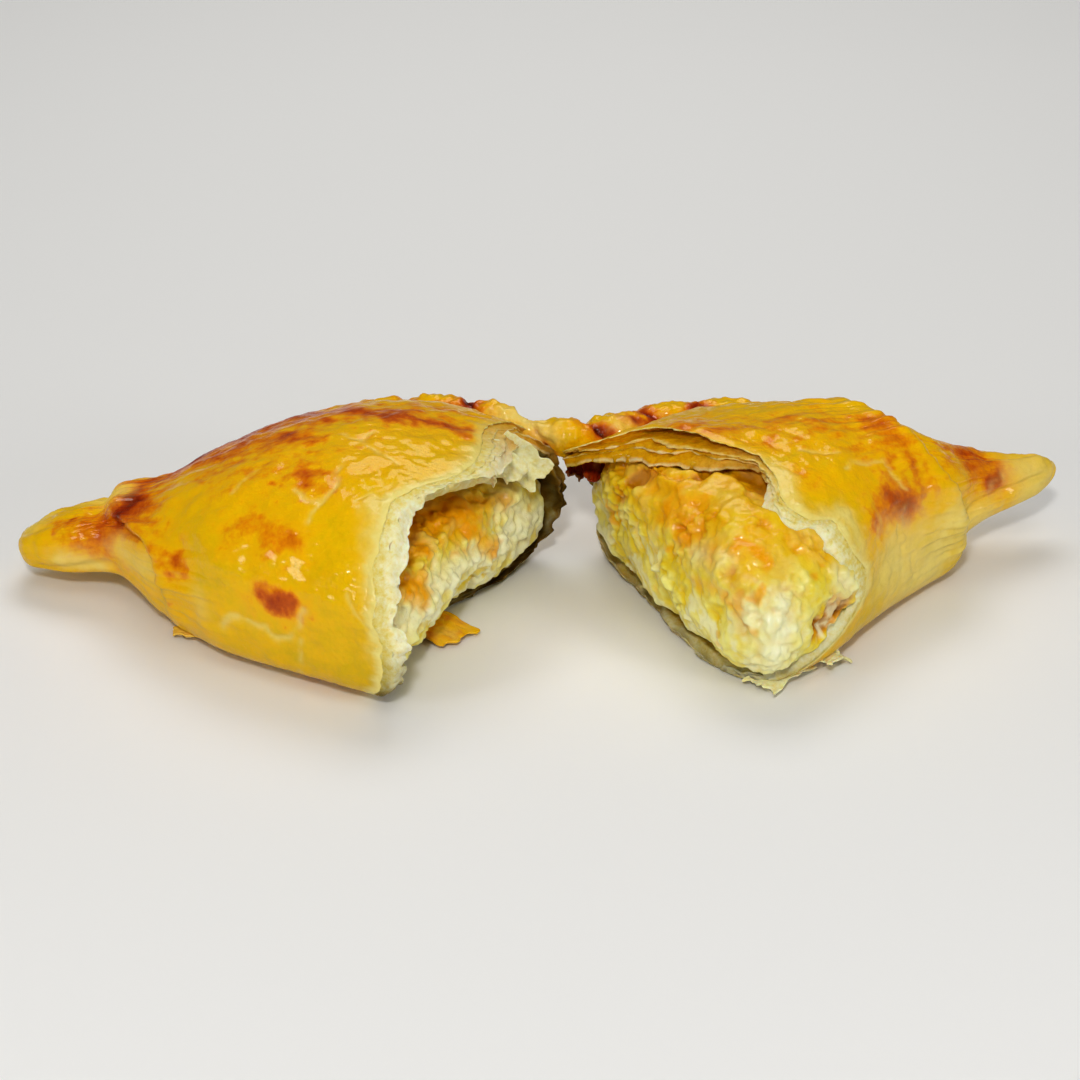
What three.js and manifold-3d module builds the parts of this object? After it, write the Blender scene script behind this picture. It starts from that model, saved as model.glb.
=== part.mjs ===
// A baked cheese empanada, torn across its middle and opened towards the front. The two halves are still
// joined at the back by the roped seam. Millimetres, +Z up, front towards -Y, lying on z = 0.
//
// The crust is one solid: two hollow half shells with ragged, layered tears, the roped seam that joins them
// and the flakes that hang from the tears. Each half holds its own filling, a solid that runs right through.
import * as THREE from "three";
import { mergeVertices } from "three/addons/utils/BufferGeometryUtils.js";
import Module from "manifold-3d";

const wasm = await Module();
wasm.setup();
const { clamp, degToRad, euclideanModulo, lerp, radToDeg, smoothstep } = THREE.MathUtils;

// Driving dimensions.
const FACE_WIDTH = 76; // across the tear, from seam to fold
const BELLY_HEIGHT = 42; // floor to the crown
const HALF_LENGTH = 92; // tear to the end of the tip
const CRUST = 2.6; // wall of the crust
const SKIN = 0.9; // glazed top sheet of the crust, the first to break
const FIT_GAP = 0.5; // filling to crust
const ROPE_RADIUS = 4.7; // roped seam, at the top of a crimp
const CRIMP_PITCH = 12.5; // from one crimp of the rope to the next
const HINGE = new THREE.Vector2(4, 44); // plan point where both tears meet the seam

// Shape of the crust.
const TIP_ROUND = 6; // rounded end of a tip
const LAMINA_REACH = 3.2; // inner sheets of the crust stick out past the skin
const LAMINA_RAGGED = 1.4; // how far their edge strays, to either side
const LAMINA_BITES = 9; // bites in their edge to a radian round the section
const TEAR_RAGGED = 0.9; // how far the skin's edge strays, to either side
const TEAR_BITES = 7;
const EDGE_SLANT = 0.3; // a broken sheet's edge leans by this much
const SWELL = 0.55; // slow waves in the baked skin
const SWELL_SIZE = 19;
const COLLAR_RISE = 1.5; // fold where the belly ends and the tip begins
const COLLAR_WIDTH = 9;
const FLOOR_FULLNESS = 4.5; // squareness of a section below the fold, where 2 is an ellipse
const CROWN_FULLNESS = 2.2; // and above it
const HOLLOW_ROUND = 14; // rounded end of the hollow
const SEAM_ANGLE = 148; // degrees round the section, at the tear
const SEAM_DROP = 26; // degrees that the seam comes down by, from the tear to the tip
const ROPE_FLATTEN = 0.82;
const ROPE_SUNK = -0.6; // the rope's middle lies this far inside the skin
const ROPE_TIP = 0.3; // share of its thickness at its ends
const ROPE_TAPER = 0.07; // share of its length that tapers
const CRIMP_DEPTH = 0.32; // share of its thickness
const FLAKE_THICKNESS = 1.2;
const FLAKE_CURL = 1.1;
const FLAKE_RAGGED = 0.35; // share of its width
const FLAKE_BITE = 0.6; // steps along a flake from one bite in its edge to the next
const STEEP = 0.6; // a flake that rises by more than this share stands, the others lie

// Shape of the filling.
const CURD_SIZE = 8.5;
const CURD_DEPTH = 2.2;
const FACE_BULGE = 2.5;
const SETTLED_OVER = 40; // the filling comes up from its settled torn end over this length
const END_GAP = 4; // filling to the end of the hollow

// How finely the surfaces are cut.
const SHELL_POINTS = 56; // round a shell
const OUTER_ROWS = 22; // tear to tip, outside
const INNER_ROWS = 9; // tear to the end of the hollow
const FILLING_POINTS = 40;
const FILLING_ROWS = 10;
const FACE_RINGS = 7;
const ROPE_SIDES = 10;
const ROPE_STEPS = 84;
const FLAKE_STEPS = 5;
const CROWDING = 0.6; // rows lie closer together at both ends of a surface

// Loft stations, all as shares: along of HALF_LENGTH, back and front of FACE_WIDTH, low, mid and high of
// BELLY_HEIGHT. Mid is the height of the fold. A tear, a torn face and a collar are pairs of an angle round
// the section, in degrees, and a distance along the half. Crown is how full the hollow is at the tear and
// inside.
const LEFT = {
  name: "left",
  side: -1,
  yaw: degToRad(26),
  hollowEnd: 61,
  crown: [0.45, 0.8],
  stations: [
    { along: -0.12, back: 0.05, front: 1.0, low: -0.01, mid: 0.4, high: 0.88 },
    { along: 0.0, back: 0.05, front: 1.0, low: -0.01, mid: 0.4, high: 0.92 },
    { along: 0.2, back: 0.06, front: 0.99, low: -0.01, mid: 0.4, high: 0.97 },
    { along: 0.4, back: 0.14, front: 0.97, low: -0.01, mid: 0.4, high: 0.89 },
    { along: 0.58, back: 0.31, front: 0.89, low: 0.02, mid: 0.36, high: 0.71 },
    { along: 0.73, back: 0.5, front: 0.81, low: 0.13, mid: 0.33, high: 0.5 },
    { along: 0.86, back: 0.6, front: 0.83, low: 0.11, mid: 0.25, high: 0.38 },
    { along: 1.0, back: 0.65, front: 0.83, low: 0.1, mid: 0.19, high: 0.27 },
  ],
  tear: [
    [0, 1], [20, 3], [38, 5], [53, 7], [66, 2.5], [80, -2], [95, 0], [110, 3.5], [135, 3], [160, 0],
    [190, -1], [210, 2], [228, 5], [246, 9], [275, 12], [295, 9], [312, 5.5], [332, 1.5],
  ],
  face: [[0, 4], [60, 6], [120, 4], [180, 2], [230, 4], [275, 10], [315, 5]],
  collar: [[0, 50], [16, 53], [28, 60], [45, 67], [90, 71], [130, 72], [180, 66], [250, 56], [320, 49]],
};
const RIGHT = {
  name: "right",
  side: 1,
  yaw: degToRad(29),
  hollowEnd: 58,
  crown: [0.78, 0.88],
  stations: [
    { along: -0.12, back: 0.05, front: 1.0, low: -0.01, mid: 0.38, high: 0.8 },
    { along: 0.0, back: 0.05, front: 0.99, low: -0.01, mid: 0.38, high: 0.84 },
    { along: 0.2, back: 0.06, front: 0.94, low: -0.01, mid: 0.38, high: 0.88 },
    { along: 0.4, back: 0.14, front: 0.82, low: -0.01, mid: 0.38, high: 0.87 },
    { along: 0.58, back: 0.29, front: 0.73, low: 0.0, mid: 0.36, high: 0.77 },
    { along: 0.66, back: 0.37, front: 0.7, low: 0.03, mid: 0.35, high: 0.67 },
    { along: 0.74, back: 0.44, front: 0.635, low: 0.16, mid: 0.36, high: 0.56 },
    { along: 0.86, back: 0.5, front: 0.62, low: 0.23, mid: 0.35, high: 0.47 },
    { along: 1.0, back: 0.53, front: 0.62, low: 0.25, mid: 0.35, high: 0.45 },
  ],
  tear: [
    [8, 31], [26, 28], [40, 21], [52, 17], [75, 17.5], [92, 13.5], [108, 10], [118, 5], [126, -4], [140, -7],
    [155, 1], [185, 6], [205, 8], [225, 7], [250, 7], [285, 5], [305, 6], [320, 10], [335, 18], [352, 27],
  ],
  face: [[0, 5], [60, 3], [120, 2], [180, 6], [230, 6], [270, 5], [315, 5]],
  collar: [[0, 60.5], [24, 58], [45, 54.5], [72, 51.5], [110, 49], [180, 52], [270, 58], [335, 62]],
};

// Flakes of crust that hang from the tears, each from a root inside the crust to its free end, as
// [along, forward, height] in the half that it belongs to.
const FLAKES = [
  { half: LEFT, root: [6, 21, 34], end: [-6, 26, 31], width: 9 },
  { half: LEFT, root: [15, 41, 1.0], end: [-1, 44, 1.1], width: 8 },
  { half: LEFT, root: [38, 62, 1.2], end: [50, 68, 1.6], width: 3 },
  { half: RIGHT, root: [24, 67, 3], end: [16, 75, 12], width: 5 },
  { half: RIGHT, root: [16, 63, 1.0], end: [6, 70, 2.2], width: 9 },
];

// A repeatable number from 0 to 1 for a lattice point.
function lattice(x, y, z) {
  const wave = Math.sin(x * 127.1 + y * 311.7 + z * 74.7) * 43758.5453;
  return wave - Math.floor(wave);
}

// Smooth noise from -1 to 1, whose bumps are about as far apart as size.
function smoothNoise(point, size) {
  const p = point.clone().divideScalar(size);
  const base = p.clone().floor();
  const t = p.sub(base);
  const share = (far, x) => (far ? x * x * (3 - 2 * x) : 1 - x * x * (3 - 2 * x));
  let sum = 0;
  for (let corner = 0; corner < 8; corner++) {
    const [i, j, k] = [corner & 1, (corner >> 1) & 1, corner >> 2];
    const weight = share(i, t.x) * share(j, t.y) * share(k, t.z);
    sum += weight * lattice(base.x + i, base.y + j, base.z + k);
  }
  return 2 * sum - 1;
}

// Rounded curds: 1 in the middle of a curd, falling to 0 in the creases between curds.
function curdRelief(point, size) {
  const p = point.clone().divideScalar(size);
  const base = p.clone().floor();
  let nearest = Infinity;
  for (let i = -1; i <= 1; i++)
    for (let j = -1; j <= 1; j++)
      for (let k = -1; k <= 1; k++) {
        const [x, y, z] = [base.x + i, base.y + j, base.z + k];
        const curd = new THREE.Vector3(
          x + lattice(x, y, z),
          y + lattice(y, z, x + 17),
          z + lattice(z, x, y + 31),
        );
        nearest = Math.min(nearest, p.distanceToSquared(curd));
      }
  return Math.max(0, 1 - nearest);
}

// A smooth curve through pairs of a place and a value, with the places rising.
function through(pairs, place) {
  const found = pairs.findIndex(([x]) => x > place);
  const k = Math.max(1, found === -1 ? pairs.length - 1 : found);
  const pick = (i) => pairs[clamp(i, 0, pairs.length - 1)];
  const [before, from, to, after] = [pick(k - 2), pick(k - 1), pick(k), pick(k + 1)];
  const span = to[0] - from[0];
  const t = clamp((place - from[0]) / span, 0, 1);
  const leave = (span * (to[1] - before[1])) / (to[0] - before[0]);
  const arrive = (span * (after[1] - from[1])) / (after[0] - from[0]);
  const rest = 1 - t;
  return rest * rest * ((1 + 2 * t) * from[1] + t * leave) + t * t * ((3 - 2 * t) * to[1] - rest * arrive);
}

// The same for pairs whose places are degrees round a section.
function around(pairs, angle) {
  const turned = (some, turn) => some.map(([x, value]) => [x + turn, value]);
  const wrapped = [...turned(pairs.slice(-2), -360), ...pairs, ...turned(pairs.slice(0, 2), 360)];
  return through(wrapped, euclideanModulo(radToDeg(angle), 360));
}

function stationSize(half, name, along) {
  return through(half.stations.map((station) => [station.along * HALF_LENGTH, station[name]]), along);
}

// The share of a section that is left where a solid closes with a round end.
function roundEnd(along, end, length) {
  const t = clamp((along - (end - length)) / length, 0, 1);
  return Math.sqrt(1 - t * t);
}

// A point of a half on the floor plan, given along the half, forward of the seam and above the floor.
function onTable(half, along, forward, height) {
  const [c, s] = [Math.cos(half.yaw), Math.sin(half.yaw)];
  const x = HINGE.x + half.side * (along * c + forward * s);
  return new THREE.Vector3(x, HINGE.y + along * s - forward * c, height);
}

// The fold of crust round the end of the belly: it climbs slowly from the belly and drops to the tip.
function collarRise(half, along, angle) {
  const t = (along - around(half.collar, angle)) / COLLAR_WIDTH;
  return COLLAR_RISE * Math.exp((t < 0 ? -2 : -12) * t * t);
}

// A point of a section: angle 0 at the fold, a quarter turn at the crown, a half turn at the seam. Inset
// moves it inwards, share draws the whole section towards its middle, and crown lowers the top.
function section(half, along, angle, { inset = 0, share = 1, crown = 1 } = {}) {
  const size = (name) => stationSize(half, name, along);
  const [back, front] = [size("back") * FACE_WIDTH, size("front") * FACE_WIDTH];
  const [low, mid, high] = ["low", "mid", "high"].map((name) => size(name) * BELLY_HEIGHT);
  const [c, s] = [Math.cos(angle), Math.sin(angle)];
  const fullness = s < 0 ? FLOOR_FULLNESS : CROWN_FULLNESS;
  const reach = share * (Math.abs(c) ** fullness + Math.abs(s) ** fullness) ** (-1 / fullness);
  const halfWidth = (front - back) / 2 - inset;
  const rise = s < 0 ? mid - low - inset : (high - mid - inset) * crown;
  return onTable(half, along, (front + back) / 2 + halfWidth * reach * c, mid + rise * reach * s);
}

// Dough sags flat where it lies on the floor.
function onFloor(point) {
  return point.setZ(Math.max(0, point.z));
}

// The baked skin: the plain section, with slow swells and the collar on all but the underside.
function skin(half, along, angle) {
  const share = roundEnd(along, HALF_LENGTH, TIP_ROUND);
  const plain = section(half, along, angle, { share });
  const upward = smoothstep(Math.sin(angle), -0.6, 0.1);
  const bump = SWELL * smoothNoise(plain, SWELL_SIZE) + collarRise(half, along, angle);
  return onFloor(section(half, along, angle, { inset: -bump * upward * share, share }));
}

// The ragged line where the skin is torn, and how far the inner sheets reach past it.
function tearLine(half, angle) {
  const ragged = smoothNoise(new THREE.Vector3(angle * TEAR_BITES, half.side * 9, 3), 1);
  return around(half.tear, angle) + TEAR_RAGGED * ragged;
}
function lamina(half, angle) {
  const ragged = smoothNoise(new THREE.Vector3(angle * LAMINA_BITES, half.side * 4, 5), 1);
  return LAMINA_REACH + LAMINA_RAGGED * ragged;
}

// A closed surface through rings of points, with a pole at each end, facing outwards.
function loft(rings, firstPole, lastPole) {
  const count = rings[0].length;
  const points = [firstPole, ...rings.flat(), lastPole];
  const at = (ring, i) => 1 + ring * count + (i % count);
  const last = rings.length - 1;
  const faces = [];
  for (let i = 0; i < count; i++) {
    faces.push([0, at(0, i), at(0, i + 1)]);
    for (let ring = 0; ring < last; ring++) {
      faces.push([at(ring, i), at(ring + 1, i), at(ring + 1, i + 1)]);
      faces.push([at(ring, i), at(ring + 1, i + 1), at(ring, i + 1)]);
    }
    faces.push([at(last, i), points.length - 1, at(last, i + 1)]);
  }
  const volumeUnder = ([a, b, c]) => points[a].dot(points[b].clone().cross(points[c]));
  const volume = faces.reduce((sum, face) => sum + volumeUnder(face), 0);
  const outward = volume > 0 ? faces : faces.map(([a, b, c]) => [a, c, b]);
  return new THREE.BufferGeometry().setFromPoints(points).setIndex(outward.flat());
}

function middle(ring) {
  return ring.reduce((sum, p) => sum.add(p), new THREE.Vector3()).divideScalar(ring.length);
}

// Count angles that go once round.
function angles(count) {
  return Array.from({ length: count }, (_, i) => (i / count) * 2 * Math.PI);
}

// Count shares from 0 up to 1, the last left out, that crowd together at both ends.
function crowded(count) {
  return angles(count).map((angle) => (angle - CROWDING * Math.sin(angle)) / (2 * Math.PI));
}

// One half of the crust: the skin from the tip to the tear, the broken sheets of the tear, then the inside.
function shell(half) {
  const turn = angles(SHELL_POINTS);
  const inside = (along, angle, inset) =>
    section(half, along, angle, { inset, share: roundEnd(along, half.hollowEnd, HOLLOW_ROUND) });
  const outer = crowded(OUTER_ROWS).map((share) =>
    turn.map((angle) => skin(half, lerp(tearLine(half, angle), HALF_LENGTH, share), angle)),
  );
  const sheetEdge = (angle) => tearLine(half, angle) - lamina(half, angle);
  const rim = [
    turn.map((angle) => inside(tearLine(half, angle) - EDGE_SLANT, angle, SKIN)),
    turn.map((angle) => inside(sheetEdge(angle), angle, SKIN)),
    turn.map((angle) => inside(sheetEdge(angle) - EDGE_SLANT, angle, CRUST - EDGE_SLANT)),
  ];
  const inner = crowded(INNER_ROWS).map((share) =>
    turn.map((angle) => {
      const edge = lerp(tearLine(half, angle), sheetEdge(angle), 0.5);
      return inside(lerp(edge, half.hollowEnd, share), angle, CRUST);
    }),
  );
  const tipEnd = middle(turn.map((angle) => section(half, HALF_LENGTH, angle)));
  const hollowEnd = middle(turn.map((angle) => section(half, half.hollowEnd, angle)));
  return loft([...outer.reverse(), ...rim, ...inner], tipEnd, hollowEnd);
}

// The roped seam, from one tip round the back to the other: a strand whose crimps run aslant round it.
function rope() {
  const places = [66, 54, 41, 28, 14, 2];
  const angle = (along) => degToRad(SEAM_ANGLE + SEAM_DROP * (along / HALF_LENGTH) ** 2);
  const seam = (half, along) => section(half, along, angle(along), { inset: ROPE_SUNK });
  const path = new THREE.CatmullRomCurve3([
    ...places.map((along) => seam(LEFT, along)),
    ...places.toReversed().map((along) => seam(RIGHT, along)),
  ]);
  const turns = (Math.PI * path.getLength()) / CRIMP_PITCH;
  const backUp = new THREE.Vector3(0, 0.75, 0.66);
  const rings = Array.from({ length: ROPE_STEPS + 1 }, (_, step) => {
    const share = step / ROPE_STEPS;
    const centre = path.getPointAt(share);
    const tangent = path.getTangentAt(share);
    const across = tangent.clone().cross(backUp).normalize();
    const out = across.clone().cross(tangent);
    const taper = lerp(ROPE_TIP, 1, Math.min(1, share / ROPE_TAPER, (1 - share) / ROPE_TAPER));
    return angles(ROPE_SIDES).map((angle) => {
      const crimp = 1 - Math.abs(Math.sin(turns * share + angle / 2));
      const radius = ROPE_RADIUS * taper * (1 - CRIMP_DEPTH * crimp);
      const [x, y] = [radius * Math.cos(angle), radius * ROPE_FLATTEN * Math.sin(angle)];
      return centre.clone().addScaledVector(across, x).addScaledVector(out, y);
    });
  });
  return loft(rings, path.getPointAt(0), path.getPointAt(1));
}

// A thin curled flake of crust, narrower and ragged towards its free end.
function flake({ half, root, end, width }, number) {
  const [from, to] = [onTable(half, ...root), onTable(half, ...end)];
  const run = to.clone().sub(from).normalize();
  const facing = Math.abs(run.z) > STEEP ? new THREE.Vector3(0, 1, 0) : new THREE.Vector3(0, 0, 1);
  const across = run.clone().cross(facing).normalize();
  const up = across.clone().cross(run);
  const thick = FLAKE_THICKNESS / 2;
  const rings = Array.from({ length: FLAKE_STEPS + 1 }, (_, step) => {
    const share = step / FLAKE_STEPS;
    const centre = from.clone().lerp(to, share).addScaledVector(up, FLAKE_CURL * Math.sin(Math.PI * share));
    const ragged = (edge) => smoothNoise(new THREE.Vector3(step, edge, number), FLAKE_BITE);
    const reach = (edge) => (width / 2) * (1 + FLAKE_RAGGED * (ragged(edge) - share));
    const [left, right] = [-reach(3), reach(8)];
    const outline = [[left, -thick], [0, -thick], [right, -thick], [right, thick], [0, thick], [left, thick]];
    return outline.map(([x, y]) => onFloor(centre.clone().addScaledVector(across, x).addScaledVector(up, y)));
  });
  return loft(rings, middle(rings[0]), middle(rings[FLAKE_STEPS]));
}

// The filling of a half: settled below the crust, with curds on its torn face and where the crust is gone.
function filling(half) {
  const turn = angles(FILLING_POINTS);
  const end = half.hollowEnd - END_GAP;
  const surface = (along, angle, share) => {
    const crown = lerp(...half.crown, smoothstep(along, 0, SETTLED_OVER));
    const inset = CRUST + FIT_GAP;
    const plain = section(half, along, angle, { inset, share, crown });
    const sunk = 0.5 * CURD_DEPTH * (1 - curdRelief(plain, CURD_SIZE));
    return section(half, along, angle, { inset: inset + sunk, share, crown });
  };
  const face = (angle) => around(half.face, angle);
  const body = crowded(FILLING_ROWS).map((share) =>
    turn.map((angle) => {
      const along = lerp(face(angle), end, share);
      return surface(along, angle, roundEnd(along, end, HOLLOW_ROUND));
    }),
  );
  const faceMiddle = turn.reduce((sum, angle) => sum + face(angle), 0) / turn.length;
  const torn = Array.from({ length: FACE_RINGS }, (_, ring) => {
    const inwards = (ring + 1) / (FACE_RINGS + 1);
    return turn.map((angle) => {
      const along = lerp(face(angle), faceMiddle, inwards) - FACE_BULGE * Math.sqrt(inwards);
      const plain = surface(along, angle, 1 - inwards);
      return surface(along - CURD_DEPTH * curdRelief(plain, CURD_SIZE), angle, 1 - inwards);
    });
  });
  const endPole = middle(turn.map((angle) => surface(end, angle, 1)));
  return loft([...body.reverse(), ...torn], endPole, middle(torn[FACE_RINGS - 1]));
}

// A geometry as a solid that can be joined to others, and back.
function toSolid(geometry) {
  const merged = mergeVertices(geometry);
  return new wasm.Manifold(
    new wasm.Mesh({
      numProp: 3,
      vertProperties: merged.getAttribute("position").array,
      triVerts: new Uint32Array(merged.index.array),
    }),
  );
}
function toGeometry(solid) {
  const { vertProperties, triVerts } = solid.getMesh();
  const geometry = new THREE.BufferGeometry();
  geometry.setAttribute("position", new THREE.BufferAttribute(vertProperties, 3));
  geometry.setIndex(new THREE.BufferAttribute(triVerts, 1));
  return geometry;
}

function crust() {
  const pieces = [shell(LEFT), shell(RIGHT), rope(), ...FLAKES.map(flake)];
  return toGeometry(pieces.map(toSolid).reduce((whole, piece) => whole.add(piece)));
}

function named(name, geometry, color, roughness) {
  geometry.computeVertexNormals();
  const mesh = new THREE.Mesh(geometry, new THREE.MeshStandardMaterial({ color, roughness, metalness: 0 }));
  mesh.name = name;
  return mesh;
}

const empanada = new THREE.Group();
empanada.add(named("crust", crust(), 0xd9a31a, 0.38));
for (const half of [LEFT, RIGHT]) empanada.add(named("filling_" + half.name, filling(half), 0xe0cc62, 0.5));

// The frame's origin is under the middle of the whole, on the floor.
const box = new THREE.Box3().setFromObject(empanada);
const centre = box.getCenter(new THREE.Vector3());
empanada.position.set(-centre.x, -centre.y, -box.min.z);

export default empanada;
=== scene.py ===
"""Dresses a torn cheese empanada: glazed crust, flaky tears, roped seam, curd filling and a plain studio.

Lengths are millimetres unless a name says otherwise. Blender gets metres.
"""
import logging
import math
from dataclasses import dataclass
from enum import Enum

import bpy
import numpy as np
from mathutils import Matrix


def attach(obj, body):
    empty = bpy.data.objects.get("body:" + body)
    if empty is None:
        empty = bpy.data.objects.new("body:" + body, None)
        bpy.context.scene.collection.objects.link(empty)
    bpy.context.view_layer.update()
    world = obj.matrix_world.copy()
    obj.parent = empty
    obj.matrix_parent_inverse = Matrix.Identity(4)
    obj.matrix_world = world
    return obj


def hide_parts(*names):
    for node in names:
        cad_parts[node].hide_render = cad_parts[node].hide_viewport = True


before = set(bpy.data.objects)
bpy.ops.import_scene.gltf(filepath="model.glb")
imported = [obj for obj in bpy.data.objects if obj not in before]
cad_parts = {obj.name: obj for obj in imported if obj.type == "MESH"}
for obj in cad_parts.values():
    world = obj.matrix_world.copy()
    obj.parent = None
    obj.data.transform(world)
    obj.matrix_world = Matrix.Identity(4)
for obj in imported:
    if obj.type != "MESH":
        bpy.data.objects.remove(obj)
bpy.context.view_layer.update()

log = logging.getLogger("empanada")
Array = np.ndarray
Pairs = tuple[tuple[float, float], ...]
Stops = tuple[tuple[float, str], ...]
Place = tuple[float, float, float]
Row = tuple[Array, Array, Array]

MM = 0.001

# Sizes of the empanada, the same as those of its solids.
FACE_WIDTH = 76.0
BELLY_HEIGHT = 42.0
HALF_LENGTH = 92.0
CRUST = 2.6
HINGE = (3.116, 28.813)
HOLLOW_ROUND = 14.0
FLOOR_FULLNESS = 4.5
CROWN_FULLNESS = 2.2
SWELL = 0.55
SWELL_SIZE = 19.0
SWELL_SEED = 3
COLLAR_RISE = 1.5
COLLAR_WIDTH = 9.0
COLLAR_BEFORE = 2.0
COLLAR_AFTER = 12.0

# Columns of a half's stations.
ALONG, BACK, FRONT, UNDERSIDE, FOLD, CROWN = range(6)

# Distances at which vertices of a new grid, and of a copied solid, become one.
WELD = 0.0001
SOLID_WELD = 0.001

# Radii of the circles on which noise is read round a section.
EDGE_RADIUS = 26.0
SKIN_RADIUS = 22.0

# About the mean of noise that is folded at zero, and of the distance to the middle of a lump.
FOLDED_MEAN = 0.3
LUMP_MEAN = 0.38

# Large odd factors that scramble whole numbers, so that neighbours get unlike shares.
AXIS_FACTORS = (374761393, 668265263, 2246822519)
SEED_FACTOR = 97531
SCRAMBLES = ((13, 1274126177), (15, 2654435761))
LAST_SHIFT = 16
WORD = 2**32
NOISE_GAIN = 1.6
TINY = 1e-9

# Sockets of a Mix node that mixes colours.
MIX_SHARE = 0
MIX_FROM = 6
MIX_TO = 7
MIX_COLOUR = 2


def linear(code: str) -> tuple[float, float, float, float]:
    """Turns an sRGB hex colour into linear light.

    Args:
        code: the colour as a hash sign and six hex digits.

    Returns:
        Red, green and blue in linear light, and full opacity.
    """
    shares = [int(code[i:i + 2], 16) / 255 for i in (1, 3, 5)]
    red, green, blue = (s / 12.92 if s <= 0.04045 else ((s + 0.055) / 1.055) ** 2.4 for s in shares)
    return red, green, blue, 1.0


def add_node(tree: bpy.types.NodeTree, kind: str, inputs: dict | None = None, stops: Stops = (),
             **settings: object) -> bpy.types.Node:
    """Adds a node with its settings and links.

    Args:
        tree: the node tree that gets the node.
        kind: Blender's name for the node.
        inputs: for each input's name or number, a socket to link from or a value to set.
        stops: places and hex colours of a colour ramp.
        settings: the node's own properties.

    Returns:
        The new node.
    """
    node = tree.nodes.new(kind)
    for name, value in settings.items():
        setattr(node, name, value)
    for name, value in (inputs or {}).items():
        if isinstance(value, bpy.types.NodeSocket):
            tree.links.new(value, node.inputs[name])
        else:
            node.inputs[name].default_value = value
    for number, (place, code) in enumerate(stops):
        elements = node.color_ramp.elements
        element = elements[number] if number < 2 else elements.new(place)
        element.position = place
        element.color = linear(code)
    return node


def new_material(name: str) -> tuple[bpy.types.Material, bpy.types.NodeTree]:
    """Makes an empty material.

    Args:
        name: what the material is and how its surface was made.

    Returns:
        The material and its node tree.
    """
    material = bpy.data.materials.new(name)
    material.use_nodes = True
    material.node_tree.nodes.clear()
    return material, material.node_tree


def per_metre(size: float) -> float:
    """The scale of a noise node whose grains are this many millimetres across."""
    return 1 / (size * MM)


def rise(low: float, high: float, value: Array) -> Array:
    """Climbs smoothly from 0 at low to 1 at high."""
    share = np.clip((value - low) / (high - low), 0, 1)
    return share * share * (3 - 2 * share)


def scattered(lattice: Array, seed: int) -> Array:
    """Gives each whole-number point a repeatable share from 0 to 1.

    Args:
        lattice: points of whole numbers, with three to a point.
        seed: another number gives other shares.

    Returns:
        One share for each point.
    """
    whole = lattice.astype(np.int64).astype(np.uint32)
    mixed = np.full(whole.shape[:-1], seed * SEED_FACTOR % WORD, np.uint32)
    for axis, factor in enumerate(AXIS_FACTORS):
        mixed = mixed + whole[..., axis] * np.uint32(factor)
    for shift, factor in SCRAMBLES:
        mixed = (mixed ^ (mixed >> np.uint32(shift))) * np.uint32(factor)
    mixed = mixed ^ (mixed >> np.uint32(LAST_SHIFT))
    return mixed / float(WORD)


def smooth_noise(points: Array, size: float, seed: int) -> Array:
    """Smooth noise of about -1 to 1.

    Args:
        points: where it is wanted.
        size: how far apart its bumps are.
        seed: another number gives other noise.

    Returns:
        One number for each point.
    """
    place = points / size
    base = np.floor(place)
    inside = place - base
    ease = inside**3 * (inside * (inside * 6 - 15) + 10)
    total = np.zeros(len(points))
    for corner in np.ndindex(2, 2, 2):
        offset = np.array(corner, float)
        slope = np.stack([scattered(base + offset, seed + axis) for axis in range(3)], -1) * 2 - 1
        weight = np.prod(np.where(offset > 0, ease, 1 - ease), -1)
        total += weight * np.sum(slope * (inside - offset), -1)
    return total * NOISE_GAIN


def layered_noise(points: Array, size: float, seed: int, layers: int = 3) -> Array:
    """Smooth noise with finer noise on it, each layer half the size and half the height of the last."""
    return sum(0.5**k * smooth_noise(points, size * 0.5**k, seed + 7 * k) for k in range(layers))


@dataclass(frozen=True)
class Ripple:
    """A layer of noise: its height, how far apart its bumps are, its seed and how many layers it has."""

    height: float
    size: float
    seed: int
    layers: int = 2

    def waves(self, points: Array) -> Array:
        """Waves that rise and fall by about the height."""
        return self.height * layered_noise(points, self.size, self.seed, self.layers)

    def ridges(self, points: Array, level: float = FOLDED_MEAN) -> Array:
        """Waves that are folded at zero, which parts them by sharp valleys, and lowered by a level."""
        return self.height * (np.abs(layered_noise(points, self.size, self.seed, self.layers)) - level)


@dataclass(frozen=True)
class Lumps:
    """Rounded lumps that fill space: how far apart their middles are, their seed and their softness.

    A smaller softness fills the creases between lumps more.
    """

    size: float
    seed: int
    softness: float = 9.0

    def at(self, points: Array) -> tuple[Array, Array]:
        """Finds the lump that each point is in.

        Args:
            points: where the lumps are wanted.

        Returns:
            The distance to the nearest middle as a share of size, rounded off between lumps, and a share
            from 0 to 1 that is the same all over one lump.
        """
        place = points / self.size
        base = np.floor(place)
        nearest = np.full(len(points), np.inf)
        owner = np.zeros(len(points))
        crowd = np.zeros(len(points))
        for step in np.ndindex(3, 3, 3):
            lattice = base + np.array(step) - 1
            middle = lattice + np.stack([scattered(lattice, self.seed + axis) for axis in range(3)], -1)
            gap = np.linalg.norm(place - middle, axis=-1)
            crowd += np.exp(-self.softness * gap)
            owner = np.where(gap < nearest, scattered(lattice, self.seed + 3), owner)
            nearest = np.minimum(nearest, gap)
        return -np.log(crowd) / self.softness, owner


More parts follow.
